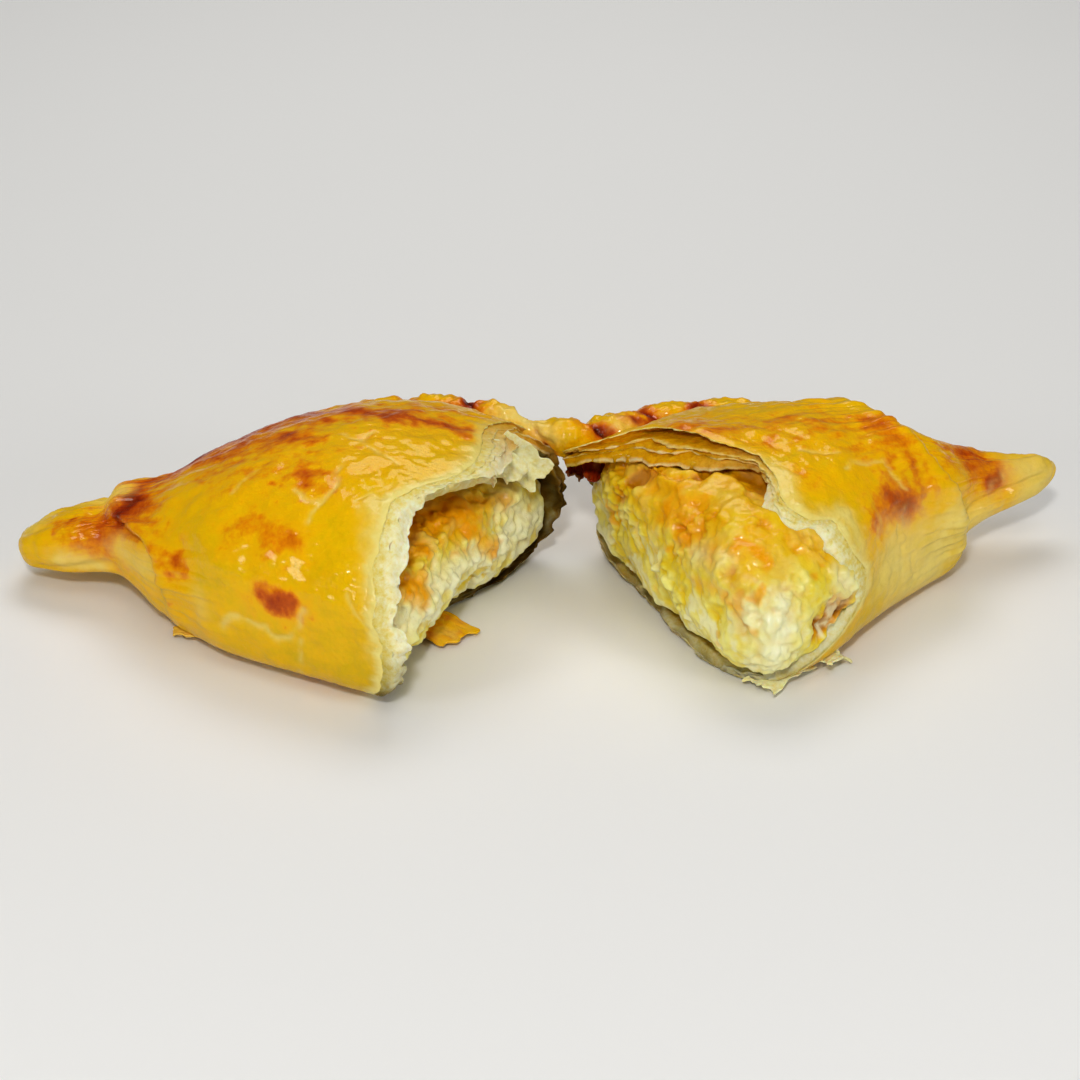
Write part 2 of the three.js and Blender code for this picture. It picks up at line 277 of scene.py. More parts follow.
def through(pairs: Pairs, place: Array) -> Array:
    """Follows a smooth curve.

    Args:
        pairs: a place and a value for each knot of the curve, with the places rising.
        place: where the curve is wanted.

    Returns:
        The curve's values there.
    """
    xs, ys = np.array(pairs, float).T
    last = len(xs) - 1
    k = np.clip(np.searchsorted(xs, place, side="right"), 1, last)
    before, start, end, after = (np.clip(k + d, 0, last) for d in (-2, -1, 0, 1))
    span = xs[end] - xs[start]
    t = np.clip((place - xs[start]) / span, 0, 1)
    leave = span * (ys[end] - ys[before]) / (xs[end] - xs[before])
    arrive = span * (ys[after] - ys[start]) / (xs[after] - xs[start])
    rest = 1 - t
    return rest**2 * ((1 + 2 * t) * ys[start] + t * leave) + t**2 * ((3 - 2 * t) * ys[end] - rest * arrive)


def around(pairs: Pairs, angle: Array) -> Array:
    """The same for pairs whose places are degrees round a section, and an angle in radians."""
    wrapped = [(x - 360, y) for x, y in pairs[-2:]] + list(pairs) + [(x + 360, y) for x, y in pairs[:2]]
    return through(wrapped, np.degrees(angle) % 360)


def round_end(along: Array, end: float, length: float) -> Array:
    """The share of a section that is left where a form closes with a round end."""
    return np.sqrt(1 - np.clip((along - (end - length)) / length, 0, 1) ** 2)


def ring_point(angle: Array, radius: float, level: float) -> Array:
    """A point on a circle, so that noise read there closes on itself round a section."""
    return np.stack([radius * np.cos(angle), radius * np.sin(angle), np.full_like(angle, level)], -1)


def drawn_out(along: Array, turn: Array, share: float, radius: float) -> Array:
    """Where to read noise that is drawn out along a half, because its lengths are cut to a share."""
    return np.concatenate([share * along[:, None], ring_point(turn, radius, 0)[:, :2]], -1)


@dataclass(frozen=True)
class PhotoView:
    """The viewpoint of the photo, fitted to the outline of the empanada."""

    target: Place = (-0.884, -2.187, 18.0)
    distance: float = 520.0
    elevation: float = math.radians(28.0)
    frame_pixels: float = 1080.0
    focal_pixels: float = 2699.0
    sensor: float = 36.0
    nearest: float = 10.0
    furthest: float = 100000.0

    @property
    def ahead(self) -> Array:
        """The direction that the camera looks in."""
        return np.array([0, math.cos(self.elevation), -math.sin(self.elevation)])

    @property
    def eye(self) -> Array:
        """Where the camera stands."""
        return np.array(self.target) - self.ahead * self.distance

    def project(self, points: Array) -> tuple[Array, Array]:
        """Finds where points show in the photo.

        Args:
            points: points of the empanada.

        Returns:
            Their pixels in the photo's frame, and their depths.
        """
        up = np.array([0, math.sin(self.elevation), math.cos(self.elevation)])
        offset = points - self.eye
        depth = offset @ self.ahead
        across, above = (self.focal_pixels * part / depth for part in (offset[:, 0], offset @ up))
        middle = self.frame_pixels / 2
        return np.stack([middle + across, middle - above], -1), depth

    def place_camera(self) -> None:
        """Adds the camera and makes it the scene's."""
        pitch = math.pi / 2 - self.elevation
        bpy.ops.object.camera_add(location=tuple(self.eye * MM), rotation=(pitch, 0, 0))
        camera = bpy.context.object
        camera.name = "photo_camera"
        camera.data.sensor_width = self.sensor
        camera.data.lens = self.sensor * self.focal_pixels / self.frame_pixels
        camera.data.clip_start = self.nearest * MM
        camera.data.clip_end = self.furthest * MM
        bpy.context.scene.camera = camera


class Bake(Enum):
    """What the oven and the tearing hands did to a place."""

    TOAST = "browned"
    PALE = "pale"
    CRACK = "cracked glaze"
    ORANGE = "melted orange cheese"
    WHITE = "white curd"
    # Holes are carved in and also painted darker, which is painted shade.
    HOLLOW = "hole"


@dataclass(frozen=True)
class Mark:
    """A named place that looks different, drawn where the photo shows it.

    The path is a line of pixels in the photo's frame, and the width is how far it fades on the surface.
    """

    name: str
    kind: Bake
    width: float
    strength: float
    path: Pairs


@dataclass
class Canvas:
    """The points of a piece, on which marks are drawn where the photo shows them.

    A mark is laid in steps of some pixels, each on the nearest point within the pick radius. Its edge strays
    and frays, so that it looks baked and not painted.
    """

    view: PhotoView
    points: Array
    normals: Array
    pick_radius: float = 3.0
    step: float = 10.0
    stray: float = 0.8
    stray_size: float = 3.2
    stray_seed: int = 900
    seed_step: int = 11
    fray: Ripple = Ripple(0.4, 2.4, 940)

    def __post_init__(self) -> None:
        """Finds which points face the photo's viewpoint, and where they show."""
        self.pixels, self.depth = self.view.project(self.points)
        self.facing = np.sum(self.normals * (self.view.eye - self.points), -1) > 0
        seeds = [self.stray_seed + self.seed_step * axis for axis in range(3)]
        sway = [smooth_noise(self.points, self.stray_size, seed) for seed in seeds]
        self.strayed = self.points + self.stray * np.stack(sway, -1)
        self.frayed = 1 + self.fray.waves(self.points)

    def pick(self, pixel: Array) -> Array:
        """Finds the surface at a pixel.

        Args:
            pixel: a place in the photo's frame.

        Returns:
            The nearest point of the piece that shows there.
        """
        gap = np.hypot(*(self.pixels - pixel).T) + np.where(self.facing, 0, np.inf)
        near = gap < self.pick_radius
        best = np.argmin(np.where(near, self.depth, np.inf)) if near.any() else np.argmin(gap)
        return self.points[best]

    def trace(self, path: Pairs) -> list[Array]:
        """Follows a path over the surface.

        Args:
            path: a line of pixels in the photo's frame.

        Returns:
            Points of the piece that show along it.
        """
        line = np.array(path, float)
        dots = [line[0]]
        for start, end in zip(line[:-1], line[1:]):
            count = max(1, int(np.hypot(*(end - start)) // self.step))
            dots += [start + (end - start) * k / count for k in range(1, count + 1)]
        return [self.pick(dot) for dot in dots]

    def draw(self, marks: tuple[Mark, ...], kind: Bake) -> Array:
        """Draws the marks of one kind.

        Args:
            marks: the marks of this piece.
            kind: which of them to draw.

        Returns:
            How strong the mark is at each point, from 0 to 1.
        """
        clear = np.ones(len(self.points))
        for mark in (m for m in marks if m.kind is kind):
            spots = self.trace(mark.path)
            gap = np.full(len(self.points), np.inf)
            for start, end in zip(spots, spots[1:] or spots):
                run = end - start
                share = np.clip((self.strayed - start) @ run / max(run @ run, TINY), 0, 1)
                gap = np.minimum(gap, np.linalg.norm(self.strayed - start - share[:, None] * run, axis=-1))
            clear *= 1 - mark.strength * np.exp(-(gap * self.frayed / mark.width) ** 2)
        return 1 - clear


@dataclass(frozen=True)
class Crease:
    """A crease in a tip, from one place along the half and angle round it, in degrees, to another."""

    start: tuple[float, float]
    end: tuple[float, float]
    depth: float = 0.9
    width: float = 1.6


@dataclass(frozen=True)
class HalfShape:
    """The form of one half, lofted as its solid is.

    Stations are shares: along of the half's length, back and front of the face's width, then the height of
    the underside, the fold and the crown. Tear, collar, reach and lift are pairs of degrees round the
    section and a length: where the skin is torn, where the belly ends in a fold, how far the inner sheets
    stick out of the tear, and how far the skin stands off them there. Layers and amber are pairs of degrees
    and a share: how far the sheets have come apart, and how much fat they have soaked up. Bites and teeth
    make the tear ragged.
    """

    name: str
    side: float
    yaw: float
    hollow_end: float
    tip_round: float
    stations: tuple[tuple[float, ...], ...]
    tear: Pairs
    collar: Pairs
    reach: Pairs
    lift: Pairs
    layers: Pairs
    amber: Pairs
    creases: tuple[Crease, ...] = ()
    bites: Ripple = Ripple(0.7, 6.0, 21)
    bite_level: float = 40.0
    teeth: Ripple = Ripple(0.5, 2.4, 33)
    tooth_level: float = 70.0

    def size(self, column: int, along: Array) -> Array:
        """One size of the stations, at a distance along the half."""
        return through(tuple((s[ALONG] * HALF_LENGTH, s[column]) for s in self.stations), along)

    def on_table(self, along: Array, forward: Array, height: Array) -> Array:
        """Places points of the half in the empanada's frame.

        Args:
            along: their distances along the half.
            forward: their distances forward of the seam.
            height: their heights above the floor.

        Returns:
            The points.
        """
        c, s = math.cos(self.yaw), math.sin(self.yaw)
        x = HINGE[0] + self.side * (along * c + forward * s)
        return np.stack([x, HINGE[1] + along * s - forward * c, height], -1)

    def in_half(self, points: Array) -> tuple[Array, Array, Array]:
        """The other way round.

        Args:
            points: points in the empanada's frame.

        Returns:
            Their distances along the half and forward of the seam, and their angles round the section.
        """
        c, s = math.cos(self.yaw), math.sin(self.yaw)
        x, y = self.side * (points[:, 0] - HINGE[0]), points[:, 1] - HINGE[1]
        along, forward = x * c + y * s, x * s - y * c
        back, front, fold, crown = (self.size(column, along) for column in (BACK, FRONT, FOLD, CROWN))
        middle = (back + front) * FACE_WIDTH / 2
        half_width = (front - back) * FACE_WIDTH / 2
        above = points[:, 2] - fold * BELLY_HEIGHT
        drop = np.where(above > 0, crown - fold, fold)
        angle = np.arctan2(above / (drop * BELLY_HEIGHT), (forward - middle) / half_width)
        return along, forward, angle

    def section(self, along: Array, angle: Array, inset: Array | float = 0.0,
                share: Array | float = 1.0) -> Array:
        """Points of a section.

        Args:
            along: distance along the half.
            angle: 0 at the fold, a quarter turn at the crown, a half turn at the seam.
            inset: how far the points lie inside the skin.
            share: how much of the section is left where a form closes.

        Returns:
            The points.
        """
        back, front = (self.size(column, along) * FACE_WIDTH for column in (BACK, FRONT))
        low, mid, high = (self.size(column, along) * BELLY_HEIGHT for column in (UNDERSIDE, FOLD, CROWN))
        c, s = np.cos(angle), np.sin(angle)
        full = np.where(s < 0, FLOOR_FULLNESS, CROWN_FULLNESS)
        reach = share * (np.abs(c) ** full + np.abs(s) ** full) ** (-1 / full)
        forward = (front + back) / 2 + ((front - back) / 2 - inset) * reach * c
        height = mid + np.where(s < 0, mid - low - inset, high - mid - inset) * reach * s
        return self.on_table(along, forward, np.maximum(height, 0))

    def bump(self, along: Array, angle: Array) -> Array:
        """Finds how far the swells and the collar raise the skin above its plain section.

        Args:
            along: distance along the half.
            angle: angle round the section.

        Returns:
            Heights above the plain section.
        """
        plain = self.section(along, angle)
        t = (along - around(self.collar, angle)) / COLLAR_WIDTH
        collar = COLLAR_RISE * np.exp(np.where(t < 0, -COLLAR_BEFORE, -COLLAR_AFTER) * t * t)
        upward = rise(-0.6, 0.1, np.sin(angle))
        return (SWELL * smooth_noise(plain, SWELL_SIZE, SWELL_SEED) + collar) * upward

    def torn_edge(self, angle: Array) -> Array:
        """Finds the ragged line where the skin is torn.

        Args:
            angle: angle round the section.

        Returns:
            Its distance along the half.
        """
        bites = self.bites.waves(ring_point(angle, EDGE_RADIUS, self.side * self.bite_level))
        teeth = self.teeth.ridges(ring_point(angle, EDGE_RADIUS, self.side * self.tooth_level))
        return around(self.tear, angle) + bites + teeth


LEFT = HalfShape(
    name="left",
    side=-1.0,
    yaw=math.radians(26),
    hollow_end=61.0,
    tip_round=6.0,
    stations=(
        (-0.12, 0.05, 1.0, -0.01, 0.4, 0.88), (0.0, 0.05, 1.0, -0.01, 0.4, 0.92),
        (0.2, 0.06, 0.99, -0.01, 0.4, 0.97), (0.4, 0.14, 0.97, -0.01, 0.4, 0.89),
        (0.58, 0.31, 0.89, 0.02, 0.36, 0.71), (0.73, 0.5, 0.81, 0.13, 0.33, 0.5),
        (0.86, 0.6, 0.83, 0.11, 0.25, 0.38), (1.0, 0.65, 0.83, 0.1, 0.19, 0.27),
    ),
    tear=(
        (0, -0.2), (16, 1.2), (28, 2.4), (41, 3.8), (50, 4.8), (58, 5.5), (66, 3.2), (74, 0.4), (83, -2.4),
        (92, -1.4), (102, 0.6), (112, 3), (135, 3), (160, 0), (190, -1), (210, 2), (228, 5), (246, 9),
        (275, 12), (295, 9), (312, 5), (328, 0.5), (344, -0.8),
    ),
    collar=(
        (0, 50), (16, 53), (28, 60), (45, 67), (90, 71), (130, 72), (180, 66), (250, 56), (320, 49),
    ),
    reach=(
        (0, 4.2), (40, 4.0), (55, 3.2), (75, 3.2), (92, 4.4), (108, 5.4), (122, 4.6), (140, 3.4), (170, 2.4),
        (230, 3.4), (275, 3.2), (300, 3), (330, 3),
    ),
    lift=((0, 0), (90, 0), (110, 0.2), (180, 0.3), (270, 0)),
    layers=(
        (0, 0), (60, 0), (80, 0.05), (105, 0.18), (125, 0.4), (150, 0.9), (190, 0.8), (240, 0.5), (300, 0.1),
    ),
    amber=((0, 0), (80, 0), (98, 0.2), (112, 0.65), (125, 0.9), (150, 0.9), (230, 0.6), (300, 0)),
    creases=(
        Crease((66, -28), (84, -38), 1.2, 1.5),
        Crease((70, 75), (90, 45), 0.5, 1.6),
        Crease((74, 130), (91, 100), 0.6, 1.6),
    ),
)
RIGHT = HalfShape(
    name="right",
    side=1.0,
    yaw=math.radians(29),
    hollow_end=58.0,
    tip_round=13.0,
    stations=(
        (-0.12, 0.05, 1.0, -0.01, 0.38, 0.8), (0.0, 0.05, 0.99, -0.01, 0.38, 0.84),
        (0.2, 0.06, 0.94, -0.01, 0.38, 0.88), (0.4, 0.14, 0.82, -0.01, 0.38, 0.87),
        (0.58, 0.29, 0.73, 0.0, 0.36, 0.77), (0.66, 0.37, 0.7, 0.03, 0.35, 0.67),
        (0.74, 0.44, 0.635, 0.16, 0.36, 0.56), (0.86, 0.5, 0.62, 0.23, 0.35, 0.47),
        (1.0, 0.53, 0.62, 0.25, 0.35, 0.45),
    ),
    tear=(
        (10, 28), (24, 24.8), (32, 23), (38, 22.5), (43, 18), (48, 15.8), (55, 14.8), (61, 16), (68, 17.2),
        (76, 17), (88, 13), (100, 9.6), (110, 6.8), (118, 3), (126, -3), (140, -5.5), (155, 1), (185, 6),
        (205, 8), (225, 7), (250, 6), (285, 4), (305, 5), (320, 10), (335, 20), (346, 27), (356, 29.5),
    ),
    collar=((0, 60.5), (24, 58), (45, 54.5), (72, 51.5), (110, 49), (180, 52), (270, 58), (335, 62)),
    reach=(
        (0, 4.2), (20, 4.8), (34, 5), (45, 4), (58, 2.6), (75, 2.8), (95, 3.8), (112, 3.4), (125, 1),
        (145, 0.4), (200, 1.6), (250, 2.6), (285, 3), (315, 2.2), (340, 2.4),
    ),
    lift=((0, 0), (60, 0), (75, 0.3), (90, 1.1), (104, 1.8), (118, 1.2), (135, 0.2), (250, 0)),
    layers=(
        (0, 0), (35, 0), (52, 0.2), (68, 0.6), (80, 1), (120, 1), (145, 0.7), (200, 0.3), (280, 0.2),
        (330, 0),
    ),
    amber=((0, 0), (45, 0), (60, 0.25), (75, 0.7), (95, 1), (140, 1), (200, 0.6), (260, 0.3), (320, 0)),
    creases=(
        Crease((58, -20), (86, 20), 0.9, 1.5),
        Crease((62, 60), (90, 100), 0.8, 1.5),
        Crease((64, 150), (88, 190), 0.8, 1.5),
    ),
)

# What the photo shows on each piece, with paths in pixels of its frame.
LEFT_MARKS = (
    Mark("band along the top", Bake.TOAST, 6.0, 0.4,
         ((150, 478), (190, 458), (240, 434), (290, 415), (345, 406), (390, 409))),
    Mark("glow under the band", Bake.TOAST, 12.0, 0.42,
         ((128, 508), (160, 478), (200, 456), (250, 436), (295, 424))),
    Mark("glow down the shoulder", Bake.TOAST, 14.0, 0.16, ((165, 500), (190, 530), (195, 560))),
    Mark("underside of the tip", Bake.TOAST, 8.0, 0.12, ((45, 545), (80, 552), (115, 556))),
    Mark("dark core of the band", Bake.TOAST, 2.6, 0.34, ((200, 455), (250, 430), (300, 412), (345, 408))),
    Mark("line under the rope", Bake.TOAST, 1.3, 0.3, ((345, 409), (390, 413), (440, 422), (484, 429))),
    Mark("scorched fold at the tip", Bake.TOAST, 1.8, 0.85, ((134, 499), (124, 508), (118, 524))),
    Mark("crest above the fold", Bake.TOAST, 1.4, 0.5, ((130, 498), (145, 482), (165, 470), (190, 457))),
    Mark("shade below the fold", Bake.TOAST, 4.5, 0.3, ((131, 500), (140, 515), (155, 545), (165, 560))),
    Mark("spot by the collar", Bake.TOAST, 2.6, 0.5, ((184, 570), (178, 564))),
    Mark("patch on the belly", Bake.TOAST, 4.2, 0.42, ((232, 535), (250, 528), (275, 532), (295, 540))),
    Mark("dark core of the patch", Bake.TOAST, 2.0, 0.2, ((262, 548), (282, 546))),
    Mark("patch low on the belly", Bake.TOAST, 4.0, 0.55, ((262, 594), (275, 604), (290, 608))),
    Mark("dark core of the low patch", Bake.TOAST, 2.2, 0.5, ((272, 602), (284, 608))),
    Mark("spot on the crown", Bake.TOAST, 2.4, 0.42, ((285, 434), (318, 437))),
    Mark("small spot on the belly", Bake.TOAST, 2.0, 0.3, ((296, 472), (307, 474))),
    Mark("glow by the small spot", Bake.TOAST, 3.6, 0.2, ((304, 478), (318, 486))),
    Mark("glow under the rope", Bake.TOAST, 4.0, 0.2, ((390, 412), (430, 422), (470, 432))),
    Mark("glow round the tip", Bake.TOAST, 5.0, 0.24, ((62, 532), (80, 522), (100, 535), (75, 545))),
    Mark("spot on the tip", Bake.TOAST, 1.6, 0.3, ((60, 520), (68, 522))),
    Mark("pale edge beside the tear", Bake.PALE, 2.4, 0.5,
         ((378, 500), (374, 545), (372, 590), (378, 640), (384, 680))),
    Mark("pale edge above the tear", Bake.PALE, 2.4, 0.4, ((400, 492), (430, 484), (460, 470), (474, 450))),
    Mark("pale top of the tip", Bake.PALE, 3.0, 0.45, ((95, 497), (120, 492))),
    Mark("pale end of the tip", Bake.PALE, 3.0, 0.4, ((30, 524), (42, 512))),
    Mark("pale underside of the tip", Bake.PALE, 2.4, 0.55, ((60, 562), (80, 567), (97, 568))),
    Mark("pale patch under the collar", Bake.PALE, 3.0, 0.4, ((120, 552), (145, 570))),
    Mark("pale patch low on the belly", Bake.PALE, 2.2, 0.25, ((196, 595), (200, 610))),
    Mark("long crack low on the belly", Bake.CRACK, 0.6, 0.8,
         ((221, 628), (229, 618), (250, 624), (278, 639), (289, 639), (299, 629), (302, 611))),
    Mark("crack across the belly", Bake.CRACK, 0.55, 0.8, ((342, 460), (334, 484), (315, 503), (305, 519))),
    Mark("branch of that crack", Bake.CRACK, 0.5, 0.7, ((294, 487), (303, 496), (315, 498))),
    Mark("crack near the tear", Bake.CRACK, 0.5, 0.8, ((354, 498), (372, 490), (390, 498))),
    Mark("crack under the rope", Bake.CRACK, 0.5, 0.7, ((345, 432), (362, 437), (372, 430))),
    Mark("branch towards the tear", Bake.CRACK, 0.5, 0.7, ((362, 437), (380, 450), (397, 460))),
    Mark("crack on the shoulder", Bake.CRACK, 0.45, 0.6, ((256, 468), (243, 480), (230, 493))),
    Mark("crack at the foot", Bake.CRACK, 0.5, 0.6, ((298, 640), (299, 660), (303, 676))),
    Mark("crack beside the tear", Bake.CRACK, 0.5, 0.6, ((344, 598), (356, 618), (372, 640))),
)
RIGHT_MARKS = (
    Mark("band along the top", Bake.TOAST, 8.0, 0.34, ((790, 424), (830, 418), (870, 424), (890, 432))),
    Mark("dark core of the band", Bake.TOAST, 3.0, 0.34, ((862, 415), (880, 419))),
    Mark("glow over the lid", Bake.TOAST, 5.0, 0.2, ((700, 425), (740, 430), (770, 437))),
    Mark("patch on the fold", Bake.TOAST, 6.0, 0.55, ((880, 522), (892, 512), (908, 508))),
    Mark("dark core of the patch", Bake.TOAST, 2.6, 0.6, ((896, 504), (908, 508))),
    Mark("spot beside the patch", Bake.TOAST, 2.4, 0.22, ((914, 515), (918, 517))),
    Mark("spot on the lid", Bake.TOAST, 3.6, 0.26, ((798, 470), (812, 480))),
    Mark("shade along the collar", Bake.TOAST, 3.0, 0.24, ((925, 470), (940, 500), (948, 525))),
    Mark("glow on the tip", Bake.TOAST, 8.0, 0.36, ((955, 470), (975, 480), (992, 488))),
    Mark("scorched fold on the tip", Bake.TOAST, 1.6, 0.6, ((993, 484), (1000, 476))),
    Mark("top of the tip", Bake.TOAST, 5.0, 0.4, ((960, 450), (990, 460), (1015, 466))),
    Mark("pale front of the belly", Bake.PALE, 7.0, 0.45, ((905, 545), (925, 550), (940, 555))),
    Mark("pale foot of the belly", Bake.PALE, 6.0, 0.45, ((890, 575), (910, 585), (930, 575))),
    Mark("pale edge beside the tear", Bake.PALE, 2.2, 0.6, ((850, 515), (862, 545), (868, 575))),
    Mark("pale edge of the lid", Bake.PALE, 2.0, 0.55, ((782, 470), (790, 500), (815, 520), (840, 512))),
    Mark("pale underside of the tip", Bake.PALE, 4.0, 0.5, ((955, 520), (970, 525), (985, 515))),
    Mark("pale end of the tip", Bake.PALE, 5.0, 0.5, ((1025, 470), (1040, 480), (1030, 490))),
    Mark("crack on the front", Bake.CRACK, 0.55, 0.85, ((901, 524), (905, 545), (906, 556))),
    Mark("crack down to the foot", Bake.CRACK, 0.55, 0.85, ((906, 556), (914, 556), (917, 582))),
    Mark("branch towards the collar", Bake.CRACK, 0.5, 0.8, ((914, 556), (931, 537), (942, 528))),
    Mark("crack on the lid", Bake.CRACK, 0.5, 0.7, ((845, 465), (862, 458), (885, 460))),
    Mark("crack by the collar", Bake.CRACK, 0.5, 0.7, ((886, 458), (900, 480), (907, 490))),
    Mark("crack along the top", Bake.CRACK, 0.5, 0.6, ((838, 451), (800, 447))),
)
ROPE_MARKS = (
    # The grooves between crimps are painted darker: painted shade.
    Mark("groove left of the break", Bake.TOAST, 1.6, 0.6, ((436, 398), (444, 408), (452, 417))),
    Mark("groove right of the break", Bake.TOAST, 1.8, 0.7, ((635, 416), (648, 422))),
    Mark("next groove", Bake.TOAST, 1.8, 0.7, ((694, 408), (705, 414))),
    Mark("glow on the last crimp", Bake.TOAST, 3.0, 0.3, ((470, 408), (495, 414))),
    Mark("groove by the break", Bake.TOAST, 1.5, 0.35, ((598, 425), (612, 429))),
    Mark("torn end on the left", Bake.PALE, 2.4, 0.6, ((505, 412), (520, 414), (528, 420))),
    Mark("torn end on the right", Bake.PALE, 2.0, 0.55, ((540, 436), (552, 440))),
    Mark("pale crimp", Bake.PALE, 2.4, 0.35, ((618, 420), (628, 424))),
)
LEFT_CHEESE_MARKS = (
    Mark("fat beside the crust", Bake.ORANGE, 3.2, 0.95, ((388, 572), (402, 584), (424, 592))),
    Mark("small smear", Bake.ORANGE, 2.2, 0.8, ((412, 552), (428, 547))),
    # Painted shade: the top under the lid, painted orange-brown.
    Mark("orange top", Bake.ORANGE, 6.0, 0.9, ((398, 524), (430, 516), (462, 508))),
    Mark("smear at the right", Bake.ORANGE, 2.4, 0.7, ((478, 530), (494, 545), (500, 552))),
    # Painted shade under the lid.
    Mark("painted shade under the lid", Bake.ORANGE, 2.4, 0.6, ((482, 500), (512, 500))),
    Mark("curds at the foot", Bake.WHITE, 4.2, 0.85, ((388, 636), (405, 622), (425, 616))),
    Mark("curds along the middle", Bake.WHITE, 3.6, 0.9, ((438, 588), (458, 574), (482, 562), (505, 552))),
    Mark("curds at the right edge", Bake.WHITE, 3.6, 0.9, ((512, 545), (528, 532), (542, 518))),
    Mark("curds under the lid", Bake.WHITE, 3.6, 0.8, ((505, 505), (525, 515))),
    Mark("curd beside the crust", Bake.WHITE, 2.4, 0.6, ((392, 548), (412, 542))),
)
RIGHT_CHEESE_MARKS = (
    Mark("smear at the left", Bake.ORANGE, 3.4, 0.75, ((664, 510), (672, 496), (678, 515))),
    Mark("smear under the lid", Bake.ORANGE, 2.2, 0.6, ((692, 500), (702, 495))),
    Mark("smear in the middle", Bake.ORANGE, 2.8, 0.7, ((678, 536), (690, 534))),
    Mark("streak across the middle", Bake.ORANGE, 1.8, 0.9,
         ((733, 545), (745, 541), (760, 550), (768, 562))),
    Mark("streak low down", Bake.ORANGE, 1.6, 0.55, ((722, 602), (730, 610), (738, 594))),
    Mark("smear at the left edge", Bake.ORANGE, 2.0, 0.5, ((694, 584), (712, 588))),
    Mark("smear near the foot", Bake.ORANGE, 1.2, 0.5, ((740, 628), (750, 633))),
    Mark("orange top", Bake.ORANGE, 8.0, 0.4, ((700, 480), (740, 490), (790, 505), (820, 522))),
    Mark("melted corner at the hinge", Bake.ORANGE, 5.0, 0.35, ((640, 500), (650, 520))),
    Mark("curd near the foot", Bake.WHITE, 4.0, 0.8, ((744, 612), (756, 622))),
    Mark("curds along the right", Bake.WHITE, 4.0, 0.85, ((785, 600), (790, 625), (780, 650))),
    Mark("curd at the foot", Bake.WHITE, 4.0, 0.6, ((762, 668), (775, 672))),
    Mark("curds in the middle", Bake.WHITE, 3.0, 0.5, ((690, 553), (720, 556))),
    Mark("curd beside the crust", Bake.WHITE, 3.0, 0.7, ((848, 580), (855, 590))),
    # Holes, pits and gaps: carved in, and painted darker as painted shade.
    Mark("hole by the hinge", Bake.HOLLOW, 1.6, 1.0, ((628, 476), (644, 472))),
    Mark("hole under the lid", Bake.HOLLOW, 1.8, 1.0, ((698, 472), (716, 466))),
    Mark("hollow under the lid", Bake.HOLLOW, 3.0, 0.6, ((748, 472), (762, 478), (770, 486))),
    Mark("pit in the middle", Bake.HOLLOW, 1.0, 0.9, ((672, 527), (676, 529))),
    Mark("gap beside the crust", Bake.HOLLOW, 3.0, 1.0, ((828, 632), (838, 620), (846, 612))),
)


def deselect_all() -> None:
    """Leaves nothing selected, so that an operator touches only what is made next."""
    bpy.ops.object.select_all(action="DESELECT")


def activate(piece: bpy.types.Object) -> None:
    """Selects one piece alone and makes it active.

    Args:
        piece: the piece that the next operator works on.
    """
    deselect_all()
    piece.select_set(True)
    bpy.context.view_layer.objects.active = piece


def read_points(piece: bpy.types.Object, name: str = "co") -> Array:
    """Reads the places or the normals of a piece's vertices.

    Args:
        piece: the piece.
        name: co for places, or normal for normals.

    Returns:
        Places in millimetres, or normals.
    """
    flat = np.empty(len(piece.data.vertices) * 3, np.float32)
    piece.data.vertices.foreach_get(name, flat)
    return flat.reshape(-1, 3).astype(float) / (MM if name == "co" else 1)


def write_points(piece: bpy.types.Object, points: Array) -> None:
    """Moves a piece's vertices to these places in millimetres."""
    piece.data.vertices.foreach_set("co", (points * MM).astype(np.float32).ravel())
    piece.data.update()


def write_field(piece: bpy.types.Object, name: str, values: Array) -> None:
    """Keeps a number for each vertex of a piece."""
    attribute = piece.data.attributes.new(name, "FLOAT", "POINT")
    attribute.data.foreach_set("value", values.astype(np.float32))


def take_fields(piece: bpy.types.Object, *names: str) -> list[Array]:
    """Reads back numbers that were kept for each vertex, and removes them from the piece.

    Args:
        piece: the piece.
        names: the names that they were kept under.

    Returns:
        One array for each name.
    """
    taken: list[Array] = []
    for name in names:
        values = np.empty(len(piece.data.vertices), np.float32)
        piece.data.attributes[name].data.foreach_get("value", values)
        taken.append(values.astype(float))
        piece.data.attributes.remove(piece.data.attributes[name])
    return taken


def tint(piece: bpy.types.Object, name: str, *channels: Array) -> None:
    """Keeps shares for each vertex as the channels of a colour attribute.

    Args:
        piece: the piece.
        name: the attribute's name, which the piece's material reads.
        channels: up to three arrays of shares, for red, green and blue.
    """
    rgba = np.zeros((len(piece.data.vertices), 4), np.float32)
    rgba[:, 3] = 1
    for column, share in enumerate(channels):
        rgba[:, column] = np.clip(share, 0, 1)
    attribute = piece.data.attributes.new(name, "FLOAT_COLOR", "POINT")
    attribute.data.foreach_set("color", rgba.ravel())


def lofted(name: str, points: Array, weld: float = WELD, **fields: Array) -> bpy.types.Object:
    """Lays a grid through rows of points and welds it where it meets itself.

    Args:
        name: the piece's name.
        points: rows by columns of places in millimetres.
        weld: vertices closer than this become one.
        fields: numbers to keep for each vertex, rows by columns.

    Returns:
        The new piece, with its faces outward.
    """
    rows, columns = points.shape[:2]
    deselect_all()
    bpy.ops.mesh.primitive_grid_add(x_subdivisions=columns - 1, y_subdivisions=rows - 1, size=1)
    piece = bpy.context.object
    piece.name = name
    write_points(piece, points.reshape(-1, 3))
    for label, values in fields.items():
        write_field(piece, label, np.broadcast_to(values, (rows, columns)).ravel())
    bpy.ops.object.mode_set(mode="EDIT")
    bpy.ops.mesh.select_all(action="SELECT")
    bpy.ops.mesh.remove_doubles(threshold=weld * MM)
    bpy.ops.mesh.normals_make_consistent(inside=False)
    bpy.ops.object.mode_set(mode="OBJECT")
    return piece


